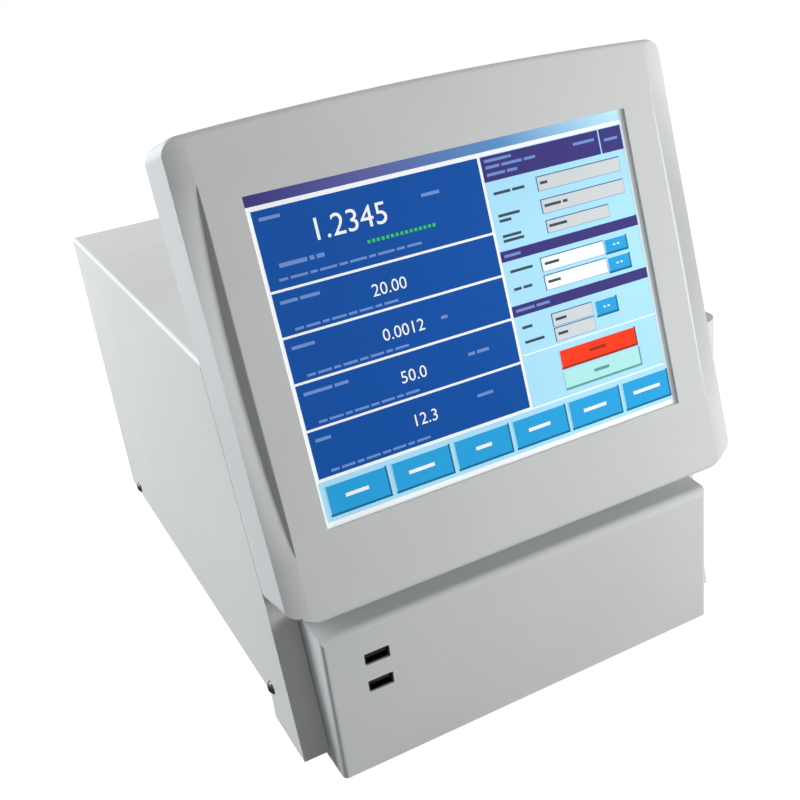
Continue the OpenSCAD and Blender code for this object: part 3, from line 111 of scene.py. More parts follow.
def soften(piece, width, angle=35, segments=3, smooth=35):
    # a small round on every sharp edge, such as a mould or a press leaves
    step = piece.modifiers.new("edges", 'BEVEL')
    step.width = width * mm
    step.segments = segments
    step.limit_method = 'ANGLE'
    step.angle_limit = radians(angle)
    step.harden_normals = False
    applyAll(piece)
    bpy.ops.object.shade_smooth_by_angle(angle=radians(smooth))
    even = piece.modifiers.new("normals", 'WEIGHTED_NORMAL')  # flat faces stay flat beside their rounds
    even.keep_sharp = True
    even.weight = 90
    applyAll(piece)


def settle(piece, matrix):
    # its place goes into its mesh, as a CAD node's does
    piece.data.transform(matrix)
    piece.data.update()


def paintOver(piece, look):
    piece.data.materials.clear()
    piece.data.materials.append(finish[look])


def tidyMesh(piece):
    # a CAD node's copy is loose triangles until its doubles are merged
    deselect()
    piece.select_set(True)
    bpy.context.view_layer.objects.active = piece
    bpy.ops.object.mode_set(mode='EDIT')
    bpy.ops.mesh.select_all(action='SELECT')
    bpy.ops.mesh.remove_doubles(threshold=1e-6)
    bpy.ops.mesh.normals_make_consistent(inside=False)
    bpy.ops.object.mode_set(mode='OBJECT')


# material helpers

def node(tree, kind, settings=None, **links):
    # settings go to the node or to its sockets, links name the socket they feed
    made = tree.nodes.new(kind)
    for key, value in (settings or {}).items():
        if hasattr(made, key) and key not in made.inputs:
            setattr(made, key, value)
        else:
            made.inputs[key].default_value = value
    for key, source in links.items():
        tree.links.new(source, made.inputs[key])
    return made


def startMaterial(name):
    material = bpy.data.materials.new(name)
    material.use_nodes = True
    tree = material.node_tree
    tree.nodes.clear()
    out = tree.nodes.new('ShaderNodeOutputMaterial')
    shader = tree.nodes.new('ShaderNodeBsdfPrincipled')
    tree.links.new(shader.outputs[0], out.inputs[0])
    coords = tree.nodes.new('ShaderNodeTexCoord')
    return material, tree, shader, coords.outputs['Object']


def grainy(name, base, dirt, grainSize, bump, rough, roughSpread, coatWeight=0.0, metallic=0.0, patch=60.0,
           patchAmount=0.5, ior=1.5, stroke=(1, 1, 1)):
    # a fine grain in the surface, a slow change of tone and a little spread in the gloss
    material, tree, shader, where = startMaterial(name)
    drawn = node(tree, 'ShaderNodeMapping', {"Scale": stroke}, Vector=where)
    grain = node(tree, 'ShaderNodeTexNoise', {"Scale": 1 / (grainSize * mm), "Detail": 3.0, "Roughness": 0.6},
                 Vector=drawn.outputs[0])
    slow = node(tree, 'ShaderNodeTexNoise', {"Scale": 1 / (patch * mm), "Detail": 2.0}, Vector=where)
    amount = node(tree, 'ShaderNodeMapRange', {"From Min": 0.35, "From Max": 0.75, "To Min": 0.0,
                                               "To Max": patchAmount}, Value=slow.outputs[0])
    tone = node(tree, 'ShaderNodeMix', {"data_type": 'RGBA'})
    tone.inputs[6].default_value = linear(base)
    tone.inputs[7].default_value = linear(dirt)
    tree.links.new(amount.outputs[0], tone.inputs[0])
    speck = node(tree, 'ShaderNodeMapRange', {"From Min": 0.3, "From Max": 0.7, "To Min": 0.965, "To Max": 1.0},
                 Value=grain.outputs[0])
    shade = node(tree, 'ShaderNodeMix', {"data_type": 'RGBA', "blend_type": 'MULTIPLY'})
    shade.inputs[0].default_value = 1.0
    tree.links.new(tone.outputs[2], shade.inputs[6])
    tree.links.new(speck.outputs[0], shade.inputs[7])
    tree.links.new(shade.outputs[2], shader.inputs['Base Color'])
    gloss = node(tree, 'ShaderNodeMapRange', {"From Min": 0.3, "From Max": 0.7, "To Min": rough - roughSpread,
                                              "To Max": rough + roughSpread}, Value=grain.outputs[0])
    tree.links.new(gloss.outputs[0], shader.inputs['Roughness'])
    relief = node(tree, 'ShaderNodeBump', {"Strength": 1.0, "Distance": bump * mm}, Height=grain.outputs[0])
    tree.links.new(relief.outputs[0], shader.inputs['Normal'])
    shader.inputs['Metallic'].default_value = metallic
    if metallic < 0.5:
        shader.inputs['IOR'].default_value = ior
    shader.inputs['Coat Weight'].default_value = coatWeight
    shader.inputs['Coat Roughness'].default_value = 0.25
    return material


finish = {}
# polyester powder coat on steel sheet: baked, a fine orange peel that softens the gloss
finish["powderCoat"] = grainy("powder coated sheet steel", "#DADCD9", "#D2D4D0", 1.1, 0.020, 0.42, 0.05, 0.15)
# moulded ABS, spark-eroded mould: an even fine grain, dull sheen
finish["mouldedAbs"] = grainy("moulded ABS, light grey", "#D3D6D7", "#CCCFD0", 0.8, 0.014, 0.46, 0.05)
# moulded natural rubber: black, dusty, soft sheen
finish["rubber"] = grainy("moulded rubber", "#1B1B1C", "#29292A", 0.7, 0.05, 0.72, 0.08)
# black nickel plate on steel: smoky grey, a little clouded, with a soft metallic gleam
finish["darkNickel"] = grainy("black nickel plated steel", "#4E5052", "#3F4042", 1.6, 0.004, 0.36, 0.08,
                              metallic=1.0, patch=10)
# white ink from a printing pad: matt, very slightly uneven
finish["padPrint"] = grainy("pad printed white ink", "#E4E5E2", "#D2D3D0", 0.4, 0.002, 0.55, 0.06)
# zinc-plated steel, bright chromate: small spangle and a faint tint
finish["zincPlate"] = grainy("zinc plated steel", "#C4C6C9", "#B3B5B2", 2.2, 0.004, 0.30, 0.08,
                             metallic=1.0, patch=14)
# stainless steel, brushed upright: long faint strokes, 0.7 mm wide so that they show, over a cool satin
finish["stainless"] = grainy("brushed stainless steel", "#C3C5C7", "#B6B8BA", 0.7, 0.001, 0.30, 0.04,
                             metallic=1.0, patch=20, stroke=(1, 1, 0.03))
# black oxide on steel screws: an oiled near-black
finish["blackOxide"] = grainy("black oxide steel", "#2A2A2C", "#1D1D1F", 0.5, 0.004, 0.38, 0.08,
                              metallic=0.6, patch=5)
# anodised aluminium: clear matt anodising over a fine mill surface
finish["anodised"] = grainy("clear anodised aluminium", "#C9CBCE", "#BDBFC2", 0.9, 0.003, 0.36, 0.05,
                            metallic=1.0, patch=30)
# moulded PTFE and FEP tube: milky white and waxy
finish["fluoropolymer"] = grainy("milky fluoropolymer", "#E6E8E6", "#DDE0DD", 0.8, 0.003, 0.34, 0.05,
                                 patch=12, ior=1.36)
# glass-filled nylon: near black with a fine flow texture
finish["blackNylon"] = grainy("glass-filled nylon, black", "#202022", "#2A2A2C", 0.6, 0.012, 0.48, 0.07, patch=10)
# FR4 board with green solder mask: glossy over a faint weave
finish["solderMask"] = grainy("green solder mask", "#0F5A30", "#0B4A28", 0.5, 0.006, 0.28, 0.05, 0.4, patch=9)
# flat cable, PVC: grey with a slight sheen
finish["flatCable"] = grainy("grey PVC flat cable", "#8C9198", "#7F848B", 1.27, 0.02, 0.45, 0.05, patch=8)
# closed-cell nitrile foam: small open cells on the cut face
finish["foam"] = grainy("nitrile foam", "#2E2E31", "#38383B", 1.2, 0.12, 0.9, 0.05, patch=10)
# alumina ceramic: chalky white
finish["ceramic"] = grainy("alumina ceramic", "#E4E3DC", "#D9D8D0", 0.5, 0.004, 0.55, 0.05, patch=9)


def clearGlass(name, tint, rough):
    material, tree, shader, where = startMaterial(name)
    smear = node(tree, 'ShaderNodeTexNoise', {"Scale": 1 / (9 * mm), "Detail": 2.0}, Vector=where)
    gloss = node(tree, 'ShaderNodeMapRange', {"To Min": rough, "To Max": rough + 0.05}, Value=smear.outputs[0])
    tree.links.new(gloss.outputs[0], shader.inputs['Roughness'])
    shader.inputs['Base Color'].default_value = linear(tint)
    shader.inputs['Transmission Weight'].default_value = 1.0
    shader.inputs['IOR'].default_value = 1.47
    return material


# drawn borosilicate tube: clear, with a faint greenish edge
finish["borosilicate"] = clearGlass("drawn borosilicate glass", "#EAF4F2", 0.02)


def litScreen(name):
    # backlit display under a satin touch foil: colour from the picture, a soft gloss on top
    material, tree, shader, where = startMaterial(name)
    paint = node(tree, 'ShaderNodeVertexColor', {"layer_name": "picture"})
    # backlight level varies a little, slowly and at random, over about 60 mm
    slow = node(tree, 'ShaderNodeTexNoise', {"Scale": 1 / (60 * mm), "Detail": 1.0}, Vector=where)
    level = node(tree, 'ShaderNodeMapRange', {"From Min": 0.3, "From Max": 0.7, "To Min": 0.95, "To Max": 1.0},
                 Value=slow.outputs[0])
    shade = node(tree, 'ShaderNodeMix', {"data_type": 'RGBA', "blend_type": 'MULTIPLY'})
    shade.inputs[0].default_value = 1.0
    tree.links.new(paint.outputs[0], shade.inputs[6])
    tree.links.new(level.outputs[0], shade.inputs[7])
    tree.links.new(shade.outputs[2], shader.inputs['Base Color'])
    tree.links.new(shade.outputs[2], shader.inputs['Emission Color'])
    shader.inputs['Emission Strength'].default_value = 0.22
    shader.inputs['Specular IOR Level'].default_value = 0.2
    foil = node(tree, 'ShaderNodeTexNoise', {"Scale": 1 / (0.5 * mm), "Detail": 1.0}, Vector=where)
    gloss = node(tree, 'ShaderNodeMapRange', {"To Min": 0.30, "To Max": 0.40}, Value=foil.outputs[0])
    tree.links.new(gloss.outputs[0], shader.inputs['Roughness'])
    return material


finish["display"] = litScreen("backlit display under satin foil")
print("materials made")

# which finish each CAD node gets
wears = {
    "powderCoat": ["wrap_cover", "rear_panel", "base_pan"],
    "mouldedAbs": ["display_bezel", "lower_front_panel", "port_pod", "display_back_cover"],
    "rubber": ["foot_front_left", "foot_front_right", "foot_rear_left", "foot_rear_right"],
    "zincPlate": ["front_frame", "frame_screws", "bezel_screws", "lcd_brackets", "lcd_screws", "body_screws",
                  "usb_board_screws", "rear_panel_screws", "foot_screws", "cell_stand", "board_standoffs",
                  "fan_guard", "serial_port", "ethernet_port", "rear_usb_ports", "air_pump_motor"],
    "darkNickel": ["usb_port_upper", "usb_port_lower", "cover_screws"],
    "stainless": ["port_plate", "air_nozzle"],
    "blackOxide": ["fan_screws", "back_cover_screws"],
    "anodised": ["cell_block", "cell_lid", "heat_sink", "power_supply"],
    "fluoropolymer": ["inlet_fitting", "outlet_fitting", "inlet_tube", "outlet_tube", "air_tube"],
    "borosilicate": ["u_tube"],
    "blackNylon": ["fan_frame", "fan_rotor", "power_inlet", "power_rocker", "fuse_drawer", "air_pump_head",
                   "lcd_module"],
    "solderMask": ["display_board", "usb_board", "main_board"],
    "flatCable": ["display_ribbon"],
    "foam": ["cell_foam", "screen_gasket"],
    "ceramic": ["thermoelectric_modules", "fuses"],
}
for key, names in wears.items():
    for name in names:
        for slot in bpy.data.objects[name].material_slots:
            slot.material = finish[key]

# the display head's front moulding
head = {"width": 271.4, "up": 115.5, "down": 118.0, "depth": 37.4, "rise": 4.0, "corner": 8.0, "edge": 3.0,
        "wall": 3.0, "face": 3.5, "window": (211.2, 160.0), "strips": 14, "fine": 0.35}
# the lip under the head: half lengths of its foot and its top, and its heights below the screen's centre
lipSize = {"low": 119.4, "high": 128.5, "bend": -117.9, "top": -114.8, "foot": -122.6, "deep": 12.0, "edge": 2.6}


def headBlock(name, inset, front, back):
    # a block with rounded corners and a crowned top, between two depths
    high = head["up"] - head["rise"] - inset
    low = -head["down"] + inset
    half = head["width"] / 2 - inset
    block = addBox(name, (2 * half, high - low, front - back), (0, (high + low) / 2, (front + back) / 2))
    pickEdges(block, lambda a, b: abs(a.z - b.z) > 1)
    bevelPicked(max(head["corner"] - inset, 1), 8)
    deselect()
    block.select_set(True)
    bpy.context.view_layer.objects.active = block
    bpy.ops.object.mode_set(mode='EDIT')
    for i in range(-head["strips"], head["strips"] + 1):
        bpy.ops.mesh.select_all(action='SELECT')
        bpy.ops.mesh.bisect(plane_co=(i * half * 0.9 / head["strips"] * mm, 0, 0), plane_no=(1, 0, 0))
    bpy.ops.object.mode_set(mode='OBJECT')
    for vertex in block.data.vertices:
        if vertex.co.y > (high - head["corner"]) * mm:
            reach = vertex.co.x / mm / half
            vertex.co.y += head["rise"] * (1 - reach * reach) * mm
    return block


def frontRim(a, b):
    # the front face's outline, without the strips' own edges across the face
    onFace = min(a.z, b.z) > -0.01
    cornerStart = head["width"] / 2 - head["corner"] - 0.7
    outline = a.y < 0.5 - head["down"] or max(abs(a.x), abs(b.x)) > cornerStart or min(a.y, b.y) > 100
    return onFace and outline and not (abs(a.x - b.x) < 0.01 and abs(a.x) < cornerStart)


bezel = headBlock("displayBezel", 0, 0, -head["depth"])
pickEdges(bezel, frontRim)
bevelPicked(head["edge"], 5)
# the lip's ends slope up into the head's corners
lip = addBox("lip", (2, lipSize["top"] - lipSize["foot"], lipSize["deep"]),
             (0, (lipSize["top"] + lipSize["foot"]) / 2, -lipSize["deep"] / 2))
deselect()
lip.select_set(True)
bpy.ops.object.mode_set(mode='EDIT')
bpy.ops.mesh.select_all(action='SELECT')
bpy.ops.mesh.bisect(plane_co=(0, lipSize["bend"] * mm, 0), plane_no=(0, 1, 0))
bpy.ops.object.mode_set(mode='OBJECT')
for vertex in lip.data.vertices:
    vertex.co.x *= lipSize["low"] if vertex.co.y < (lipSize["foot"] + 1) * mm else lipSize["high"]
pickEdges(lip, lambda a, b: abs(a.x - b.x) > 1 and max(a.y, b.y) < lipSize["foot"] + 1 and a.z > -0.1)
bevelPicked(lipSize["edge"], 5)
cut(bezel, lip, 'UNION')
cavity = headBlock("cavity", head["wall"], -head["face"], -head["depth"] - 2)
cut(bezel, cavity)
window = addBox("window", (head["window"][0], head["window"][1], 20), (0, 0, 0))
cut(bezel, window)

# the border beside the screen falls away a little to its edge, and a scoop is swept into it: a steep inner wall
# that eases into the face, deepest at half height and dying out at both tips
border = {"start": 123.0, "edge": 135.7, "drop": 2.2, "end": 142.0, "reach": 88.0, "centre": 1.0, "rows": 90,
          "crease": 124.4, "bow": 3.6, "depth": 3.6, "wall": 4.2, "tall": 126.0, "clear": 0.02, "high": 12.0,
          "inner": (1.3, 1.0, 0.86, 0.72, 0.58, 0.44, 0.3, 0.16, 0.0),
          "outer": (0.1, 0.25, 0.4, 0.55, 0.7, 0.85, 1.0),
          "backing": {"size": (18, 182, 6), "at": (125, 1, -5.5)}}


def borderPoint(column, along):
    share = max(0.0, 1 - ((along - border["centre"]) / border["reach"]) ** 2)
    crease = border["crease"] + border["bow"] * share
    wall = border["wall"] * share ** 0.8 + 0.25
    deep = border["depth"] * share ** 0.6
    if column < len(border["inner"]):
        t = border["inner"][column]
        across = crease - wall * t
        groove = deep * (1 - min(t, 1)) ** 2 * (1 + 2 * min(t, 1))
    else:
        across = crease + (border["end"] - crease) * border["outer"][column - len(border["inner"])]
        groove = deep * max(0.0, 1 - (across - crease) / (border["edge"] - crease))
    fall = border["drop"] * (max(0.0, across - border["start"]) / (border["edge"] - border["start"])) ** 2
    return across, border["clear"] - fall - groove


def borderCutter(side):
    columns = len(border["inner"]) + len(border["outer"])
    deselect()
    bpy.ops.mesh.primitive_grid_add(x_subdivisions=columns - 1, y_subdivisions=border["rows"], size=2)
    cutter = bpy.context.object
    for vertex in cutter.data.vertices:
        along = vertex.co.y * border["tall"]
        across, high = borderPoint(round((vertex.co.x + 1) / 2 * (columns - 1)), along)
        vertex.co = Vector((side * across, along, high)) * mm
    bpy.ops.object.mode_set(mode='EDIT')
    bpy.ops.mesh.select_all(action='SELECT')
    bpy.ops.mesh.extrude_region_move(TRANSFORM_OT_translate={"value": (0, 0, border["high"] * mm)})
    bpy.ops.mesh.select_all(action='SELECT')
    bpy.ops.mesh.normals_make_consistent(inside=False)
    bpy.ops.object.mode_set(mode='OBJECT')
    print("border cutter", side, len(cutter.data.vertices), len(cutter.data.polygons))
    return cutter


for side in (-1, 1):
    # the moulding is thicker behind the scoop
    x, y, z = border["backing"]["at"]
    cut(bezel, addBox("backing", border["backing"]["size"], (side * x, y, z)), 'UNION')
    cut(bezel, borderCutter(side))
soften(bezel, head["fine"], angle=28, segments=2, smooth=32)
settle(bezel, faceMatrix)
paintOver(bezel, "mouldedAbs")
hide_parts("display_bezel")
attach(bezel, "instrument")
print("head made", len(bezel.data.polygons))

# mouldings and sheets whose edges are broken as a mould or a press leaves them
# CAD node, body, slot, finish, width of the round in millimetres and its segments
softened = {
    "portPod": ("port_pod", "instrument", "moulding", "mouldedAbs", 1.0, 4),
    "lowerFrontPanel": ("lower_front_panel", "instrument", "moulding", "mouldedAbs", 0.5, 3),
    "displayBackCover": ("display_back_cover", "instrument", "moulding", "mouldedAbs", 0.6, 3),
    "mainsInlet": ("power_inlet", "instrument", "black_plastic", "blackNylon", 0.3, 2),
    "mainsRocker": ("power_rocker", "power_rocker", "black_plastic", "blackNylon", 0.4, 3),
    "fuseDrawer": ("fuse_drawer", "fuse_drawer", "black_plastic", "blackNylon", 0.25, 2),
    "wrapCover": ("wrap_cover", "instrument", "paint", "powderCoat", 0.3, 2),
    "rearPanel": ("rear_panel", "instrument", "paint", "powderCoat", 0.2, 2),
}


def copyNode(name, source):
    deselect()
    made = bpy.data.objects[source].copy()
    made.data = made.data.copy()
    made.name = name
    made.data.name = name
    made.parent = None
    made.matrix_world = Matrix.Identity(4)
    for label in list(made.keys()):
        del made[label]
    bpy.context.collection.objects.link(made)
    tidyMesh(made)
    bpy.ops.object.mode_set(mode='EDIT')
    bpy.ops.mesh.select_all(action='SELECT')
    bpy.ops.mesh.dissolve_limited(angle_limit=radians(0.5))
    bpy.ops.object.mode_set(mode='OBJECT')
    return made


# the cover's two front returns reach in to the lower panel, with a hairline left between them
returns = {"edge": 123.2, "reach": 121.2, "below": 110.0}


def closeReturns(cover):
    for vertex in cover.data.vertices:
        across = vertex.co.x / mm + place["midX"]
        if abs(abs(across) - returns["edge"]) < 0.1 and vertex.co.z < returns["below"] * mm:
            vertex.co.x = (copysign(returns["reach"], across) - place["midX"]) * mm


for name, (source, body, slot, look, width, segments) in softened.items():
    piece = copyNode(name, source)
    if name == "wrapCover":
        closeReturns(piece)
    soften(piece, width, angle=40, segments=segments, smooth=34)
    paintOver(piece, look)
    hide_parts(source)
    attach(piece, body)
    print(name, len(piece.data.polygons))

# plain on and off marks, printed on the rocker's face
marks = {"middle": (67.6, 142.0), "apart": 5.2, "bar": (0.5, 2.6), "ring": (1.8, 2.6), "ink": 0.08, "start": 200.0}


def addMark(name, columns, spot):
    # spot(u, v) gives x and z in millimetres for a grid point between -1 and 1, then the mark is laid on the rocker
    deselect()
    bpy.ops.mesh.primitive_grid_add(x_subdivisions=columns, y_subdivisions=1, size=2)
    mark = bpy.context.object
    mark.name = name
    for vertex in mark.data.vertices:
        x, z = spot(vertex.co.x, vertex.co.y)
        vertex.co = Vector((x, marks["start"], z)) * mm
    tidy = mark.modifiers.new("seam", 'WELD')
    tidy.merge_threshold = 1e-6
    lay = mark.modifiers.new("lay", 'SHRINKWRAP')
    lay.target = bpy.data.objects["mainsRocker"]
    lay.wrap_method = 'PROJECT'
    lay.use_project_y = True
    lay.use_negative_direction = True
    lay.use_positive_direction = False
    ink = mark.modifiers.new("ink", 'SOLIDIFY')
    ink.thickness = marks["ink"] * mm
    ink.offset = 1
    applyAll(mark)
    paintOver(mark, "padPrint")
    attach(mark, "power_rocker")


markX, markZ = marks["middle"]
addMark("onMark", 2, lambda u, v: (markX + marks["apart"] - u * marks["bar"][0], markZ + v * marks["bar"][1]))
addMark("offMark", 48, lambda u, v: (markX - marks["apart"] - sin(pi * u) * marks["ring"][int(v > 0)],
                                     markZ + cos(pi * u) * marks["ring"][int(v > 0)]))
print("rocker marks made")

# the picture on the display: generic blocks and numbers of our own
picture = {"front": -2.2, "proud": 0.06, "foil": (222.2, 171.0, 1.8), "behind": 0.02, "corner": 1.5, "fine": 0.2}
tint = {"white": "#F4F7F8", "navy": "#3A3478", "blue": "#104EA0", "sky": "#A9DFF8", "grey": "#CDD2D6",
        "button": "#2AA0DC", "red": "#F03C1E", "mint": "#AEE6E4", "line": "#6F8FCC",
        "green": "#38C45A", "ink": "#3A4A5A", "band": "#5A8FC4", "shade": "#1B6A94", "dusk": "#5C62A0",
        "pale": "#B9E4F8", "rust": "#9A2A16", "teal": "#5C9A98"}


def onScreen(box):
    # fields are laid out in fifths of a millimetre, right and down from a corner 150 mm left of and 130 mm above
    # the screen's centre
    x0, y0, x1, y1 = box
    return x0 / 5 - 150, 130 - y1 / 5, x1 / 5 - 150, 130 - y0 / 5


# box, colour or a pair that blends to the right, and level above the foil
fields = [
    ((222, 250, 1272, 1046), "white", 0), ((222, 250, 560, 276), ("navy", "dusk"), 1),
    ((560, 250, 900, 276), ("dusk", "band"), 1), ((900, 250, 1268, 276), ("band", "pale"), 1),
    ((235, 287, 830, 472), "blue", 1), ((235, 478, 830, 580), "blue", 1), ((235, 586, 830, 692), "blue", 1),
    ((235, 698, 830, 806), "blue", 1), ((235, 812, 830, 928), "blue", 1), ((230, 936, 1264, 1036), "sky", 1),
    ((838, 286, 1264, 932), "sky", 1), ((838, 288, 1190, 350), "navy", 2), ((1194, 288, 1262, 350), "navy", 2),
    ((838, 525, 1262, 552), "navy", 2), ((838, 666, 1262, 694), "navy", 2), ((842, 793, 1262, 796), "white", 2),
]
# sunk entry fields and raised keys, each with a dark and a light edge
insets = [((985, 368, 1240, 402), "grey"), ((985, 426, 1240, 460), "grey"), ((988, 480, 1180, 510), "grey"),
          ((950, 568, 1142, 602), "white"), ((950, 614, 1142, 650), "white"),
          ((948, 714, 1072, 746), "grey"), ((948, 752, 1072, 786), "grey")]
keys = [((1148, 568, 1214, 600), "button"), ((1148, 616, 1214, 650), "button"), ((1084, 716, 1148, 752), "button"),
        ((948, 812, 1186, 856), "red"), ((948, 868, 1188, 912), "mint")]
keys += [((x0, 950, x1, 1020), "button") for x0, x1 in
         ((245, 403), (422, 580), (598, 754), (771, 928), (943, 1100), (1117, 1262))]
darker = {"button": "shade", "red": "rust", "mint": "teal", "grey": "shade", "white": "shade"}
for (x0, y0, x1, y1), colour in insets:
    fields += [((x0 - 2.5, y0 - 2.5, x1 + 1, y1 + 1), darker[colour], 2), ((x0, y0, x1, y1), colour, 3)]
for (x0, y0, x1, y1), colour in keys:
    fields += [((x0 - 2, y0 - 2, x1 + 5, y1 + 6), darker[colour], 2), ((x0 - 2, y0 - 2, x1, y1), "pale", 3),
               ((x0, y0, x1, y1), colour, 4)]


def addCaption(x, y, lengths, colour, tall=7, level=3):
    # bars as long as words stand in for small captions
    for length in lengths:
        fields.append(((x, y, x + length, y + tall), colour, level))
        x += length + 6


for y, lengths in ((304, (52,)), (498, (44, 50)), (606, (58,)), (718, (74, 36)), (832, (40,))):
    addCaption(250, y, lengths, "line", 8)
addCaption(270, 414, (70, 12, 20), "line", 10)
addCaption(262, 448, (22, 44, 18, 44, 22, 44, 18, 44, 22, 40), "line", 6)
for y in (566, 678, 792, 913):
    addCaption(270, y, (22, 36, 18, 38, 22, 36, 18, 38), "line", 6)
for x, y, lengths in ((660, 338, (50,)), (640, 636, (18,)), (690, 744, (20, 34)), (690, 852, (46,))):
    addCaption(x, y, lengths, "line", 8)
for i in range(15):
    fields.append(((496 + i * 12.6, 413, 504 + i * 12.6, 421), "green", 3))
for y, lengths in ((378, (48, 36)), (434, (62,)), (447, (34,)), (486, (54,)), (498, (60,)), (576, (66,)),
                   (622, (22, 26)), (722, (30,)), (760, (58,))):
    addCaption(856, y, lengths, "ink", 7)
for x, y, lengths in ((992, 380, (22,)), (992, 438, (50, 14)), (994, 490, (54,)), (958, 580, (44,)),
                      (958, 627, (38,)), (956, 726, (34,)), (956, 764, (30,))):
    addCaption(x, y, lengths, "ink", 7, 4)
for x, y, lengths in ((848, 296, (78,)), (848, 312, (40, 60, 34)), (848, 330, (52, 30)), (848, 535, (48,)),
                      (848, 676, (56, 40)), (1110, 306, (66,)), (1206, 314, (42,))):
    addCaption(x, y, lengths, "line", 7)
addCaption(1038, 830, (52,), "rust", 8, 5)
addCaption(1040, 886, (48,), "teal", 8, 5)
for x, lengths in ((290, (62,)), (462, (72,)), (654, (46,)), (812, (66,)), (984, (72,)), (1146, (88,))):
    addCaption(x, 980, lengths, "white", 9, 5)
for x, y in ((1172, 582), (1172, 631), (1106, 733)):
    addCaption(x, y, (7, 7), "white", 4, 5)


def addField(corners, level, colour):
    x0, y0, x1, y1 = corners
    deselect()
    bpy.ops.mesh.primitive_plane_add(size=1, location=(0, 0, 0))
    tile = bpy.context.object
    lift = picture["front"] + level * picture["proud"]
    for vertex in tile.data.vertices:
        vertex.co = Vector((x0 if vertex.co.x < 0 else x1, y0 if vertex.co.y < 0 else y1, lift)) * mm
    return colourPiece(tile, colour)


def colourPiece(tile, colour):
    # one colour, or one on the left that blends to another on the right
    first, last = (colour, colour) if isinstance(colour, str) else colour
    layer = tile.data.color_attributes.new("picture", 'FLOAT_COLOR', 'CORNER')
    middle = sum(v.co.x for v in tile.data.vertices) / len(tile.data.vertices)
    for item, corner in zip(layer.data, tile.data.loops):
        item.color = linear(tint[first if tile.data.vertices[corner.vertex_index].co.x <= middle else last])
    return tile


def addNumber(words, x, y, tall, colour):
    deselect()
    bpy.ops.object.text_add(location=(0, 0, 0))
    label = bpy.context.object
    label.data.body = words
    label.data.size = tall * mm
    label.data.resolution_u = 3
    bpy.ops.object.convert(target='MESH')
    label = bpy.context.object
    x0, y0, _, _ = onScreen((x, y, x, y))
    settle(label, Matrix.Translation(Vector((x0, y0, picture["front"] + 3 * picture["proud"])) * mm))
    label.location = (0, 0, 0)
    return colourPiece(label, colour)


tiles = [addField(onScreen(box), level, colour) for box, colour, level in fields]
tiles += [addNumber(words, x, y, tall, "white") for words, x, y, tall in (
    ("1.2345", 362, 384, 15), ("20.00", 478, 546, 8.5), ("0.0012", 478, 656, 8.5), ("50.0", 498, 768, 8.5),
    ("12.3", 502, 880, 8.5))]
deselect()
for tile in tiles:
    tile.select_set(True)
bpy.context.view_layer.objects.active = tiles[0]
bpy.ops.object.join()
screenPicture = bpy.context.object
screenPicture.name = "screenPicture"
settle(screenPicture, faceMatrix)
paintOver(screenPicture, "display")
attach(screenPicture, "instrument")

# the foil behind the picture keeps the touch panel's place
foil = addBox("touchFoil", picture["foil"], (0, 0, picture["front"] - picture["foil"][2] / 2 - picture["behind"]))
pickEdges(foil, lambda a, b: abs(a.z - b.z) > 1)
bevelPicked(picture["corner"])
soften(foil, picture["fine"], segments=2)
colourPiece(foil, "white")
settle(foil, faceMatrix)
paintOver(foil, "display")
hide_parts("touch_panel")
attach(foil, "instrument")
print("display made", len(screenPicture.data.polygons))

# studio
# the camera's place in millimetres and the directions that its picture's right, down and depth run in,
# with a focal length of 1093 pixels in a picture 800 wide
studio = {"sensor": 36, "focal": 1093 / 800, "camera": (-274.82, -600.23, 423.2),
          "right": (0.88328, -0.45391, -0.11737), "down": (-0.28692, -0.32536, -0.90101),
          "ahead": (0.37080, 0.82952, -0.41762), "floor": "#999999", "floorGlow": 0.95, "room": 0.15}
# place, aim, side of the softbox in metres, watts and colour
lamps = {
    "softboxRear": ((-1.4, 1.05, 0.9), (0, 0, 0.2), 1.0, 42, "#FAFDFF"),
    "softboxFront": ((0.8, -0.84, 0.30), (0.02, -0.15, 0.22), 0.6, 12.8, "#FFFEFC"),
    "softboxTop": ((0.1, 0.2, 1.7), (0, 0, 0.1), 1.2, 2.5, "#FFFFFF"),
}
cameraData = bpy.data.cameras.new("camera")
cameraData.lens = studio["focal"] * studio["sensor"]
cameraData.sensor_width = studio["sensor"]
cameraData.sensor_fit = 'HORIZONTAL'
cameraData.clip_start = 0.01
camera = bpy.data.objects.new("camera", cameraData)
turn = Matrix((studio["right"], [-v for v in studio["down"]], [-v for v in studio["ahead"]])).transposed().to_4x4()
camera.matrix_world = Matrix.Translation(Vector(studio["camera"]) * mm) @ turn
bpy.context.collection.objects.link(camera)
bpy.context.scene.camera = camera

for name, (at, aim, size, power, colour) in lamps.items():
    lampData = bpy.data.lights.new(name, 'AREA')
    lampData.size = size
    lampData.energy = power
    lampData.color = linear(colour)[:3]
    lamp = bpy.data.objects.new(name, lampData)
    lamp.location = at
    lamp.rotation_euler = (Vector(aim) - Vector(at)).to_track_quat('-Z', 'Y').to_euler()
    bpy.context.collection.objects.link(lamp)
bpy.data.objects["softboxFront"].visible_glossy = False  # no glare of it along the roof, seen from behind

deselect()
bpy.ops.mesh.primitive_plane_add(size=80, location=(0, 0, 0))
floor = bpy.context.object
floor.name = "floor"
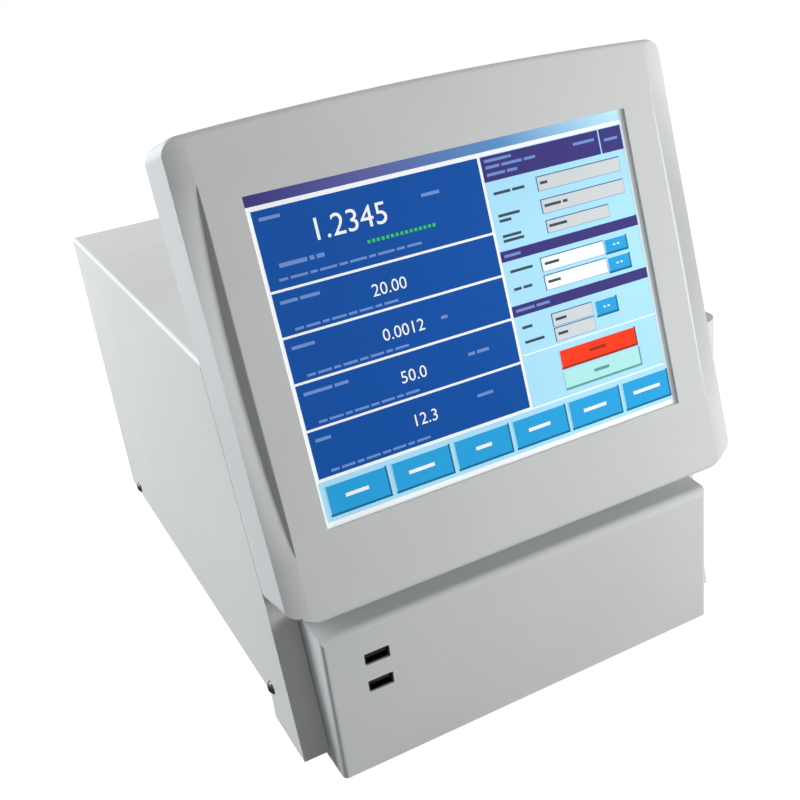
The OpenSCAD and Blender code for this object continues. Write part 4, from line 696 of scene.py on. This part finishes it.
# the camera sees a white sweep with the object's shadow, while the light that the floor throws back stays modest
floorPaint = bpy.data.materials.new("white paper sweep")
floorPaint.use_nodes = True
tree = floorPaint.node_tree
tree.nodes.clear()
out = tree.nodes.new('ShaderNodeOutputMaterial')
paper = node(tree, 'ShaderNodeBsdfDiffuse', {"Color": linear(studio["floor"])})
glow = node(tree, 'ShaderNodeEmission', {"Color": linear("#FFFFFF"), "Strength": studio["floorGlow"]})
both = node(tree, 'ShaderNodeAddShader')
tree.links.new(paper.outputs[0], both.inputs[0])
tree.links.new(glow.outputs[0], both.inputs[1])
path = node(tree, 'ShaderNodeLightPath')
pick = node(tree, 'ShaderNodeMixShader')
tree.links.new(path.outputs['Is Camera Ray'], pick.inputs[0])
tree.links.new(paper.outputs[0], pick.inputs[1])
tree.links.new(both.outputs[0], pick.inputs[2])
tree.links.new(pick.outputs[0], out.inputs[0])
floor.data.materials.append(floorPaint)

# the camera, gloss and glass see a white room, which lights the object only faintly
world = bpy.data.worlds.new("studio")
bpy.context.scene.world = world
world.use_nodes = True
tree = world.node_tree
tree.nodes.clear()
out = tree.nodes.new('ShaderNodeOutputWorld')
room = node(tree, 'ShaderNodeBackground', {"Color": linear("#FFFFFF"), "Strength": studio["room"]})
seen = node(tree, 'ShaderNodeBackground', {"Color": linear("#FFFFFF"), "Strength": 1.0})
path = node(tree, 'ShaderNodeLightPath')
glossOrCamera = node(tree, 'ShaderNodeMath', {"operation": 'MAXIMUM'})
tree.links.new(path.outputs['Is Camera Ray'], glossOrCamera.inputs[0])
tree.links.new(path.outputs['Is Glossy Ray'], glossOrCamera.inputs[1])
anySeen = node(tree, 'ShaderNodeMath', {"operation": 'MAXIMUM'})
tree.links.new(glossOrCamera.outputs[0], anySeen.inputs[0])
tree.links.new(path.outputs['Is Transmission Ray'], anySeen.inputs[1])
pick = node(tree, 'ShaderNodeMixShader')
tree.links.new(anySeen.outputs[0], pick.inputs[0])
tree.links.new(room.outputs[0], pick.inputs[1])
tree.links.new(seen.outputs[0], pick.inputs[2])
tree.links.new(pick.outputs[0], out.inputs[0])

bpy.context.scene.view_settings.view_transform = 'Standard'

print("stage set")
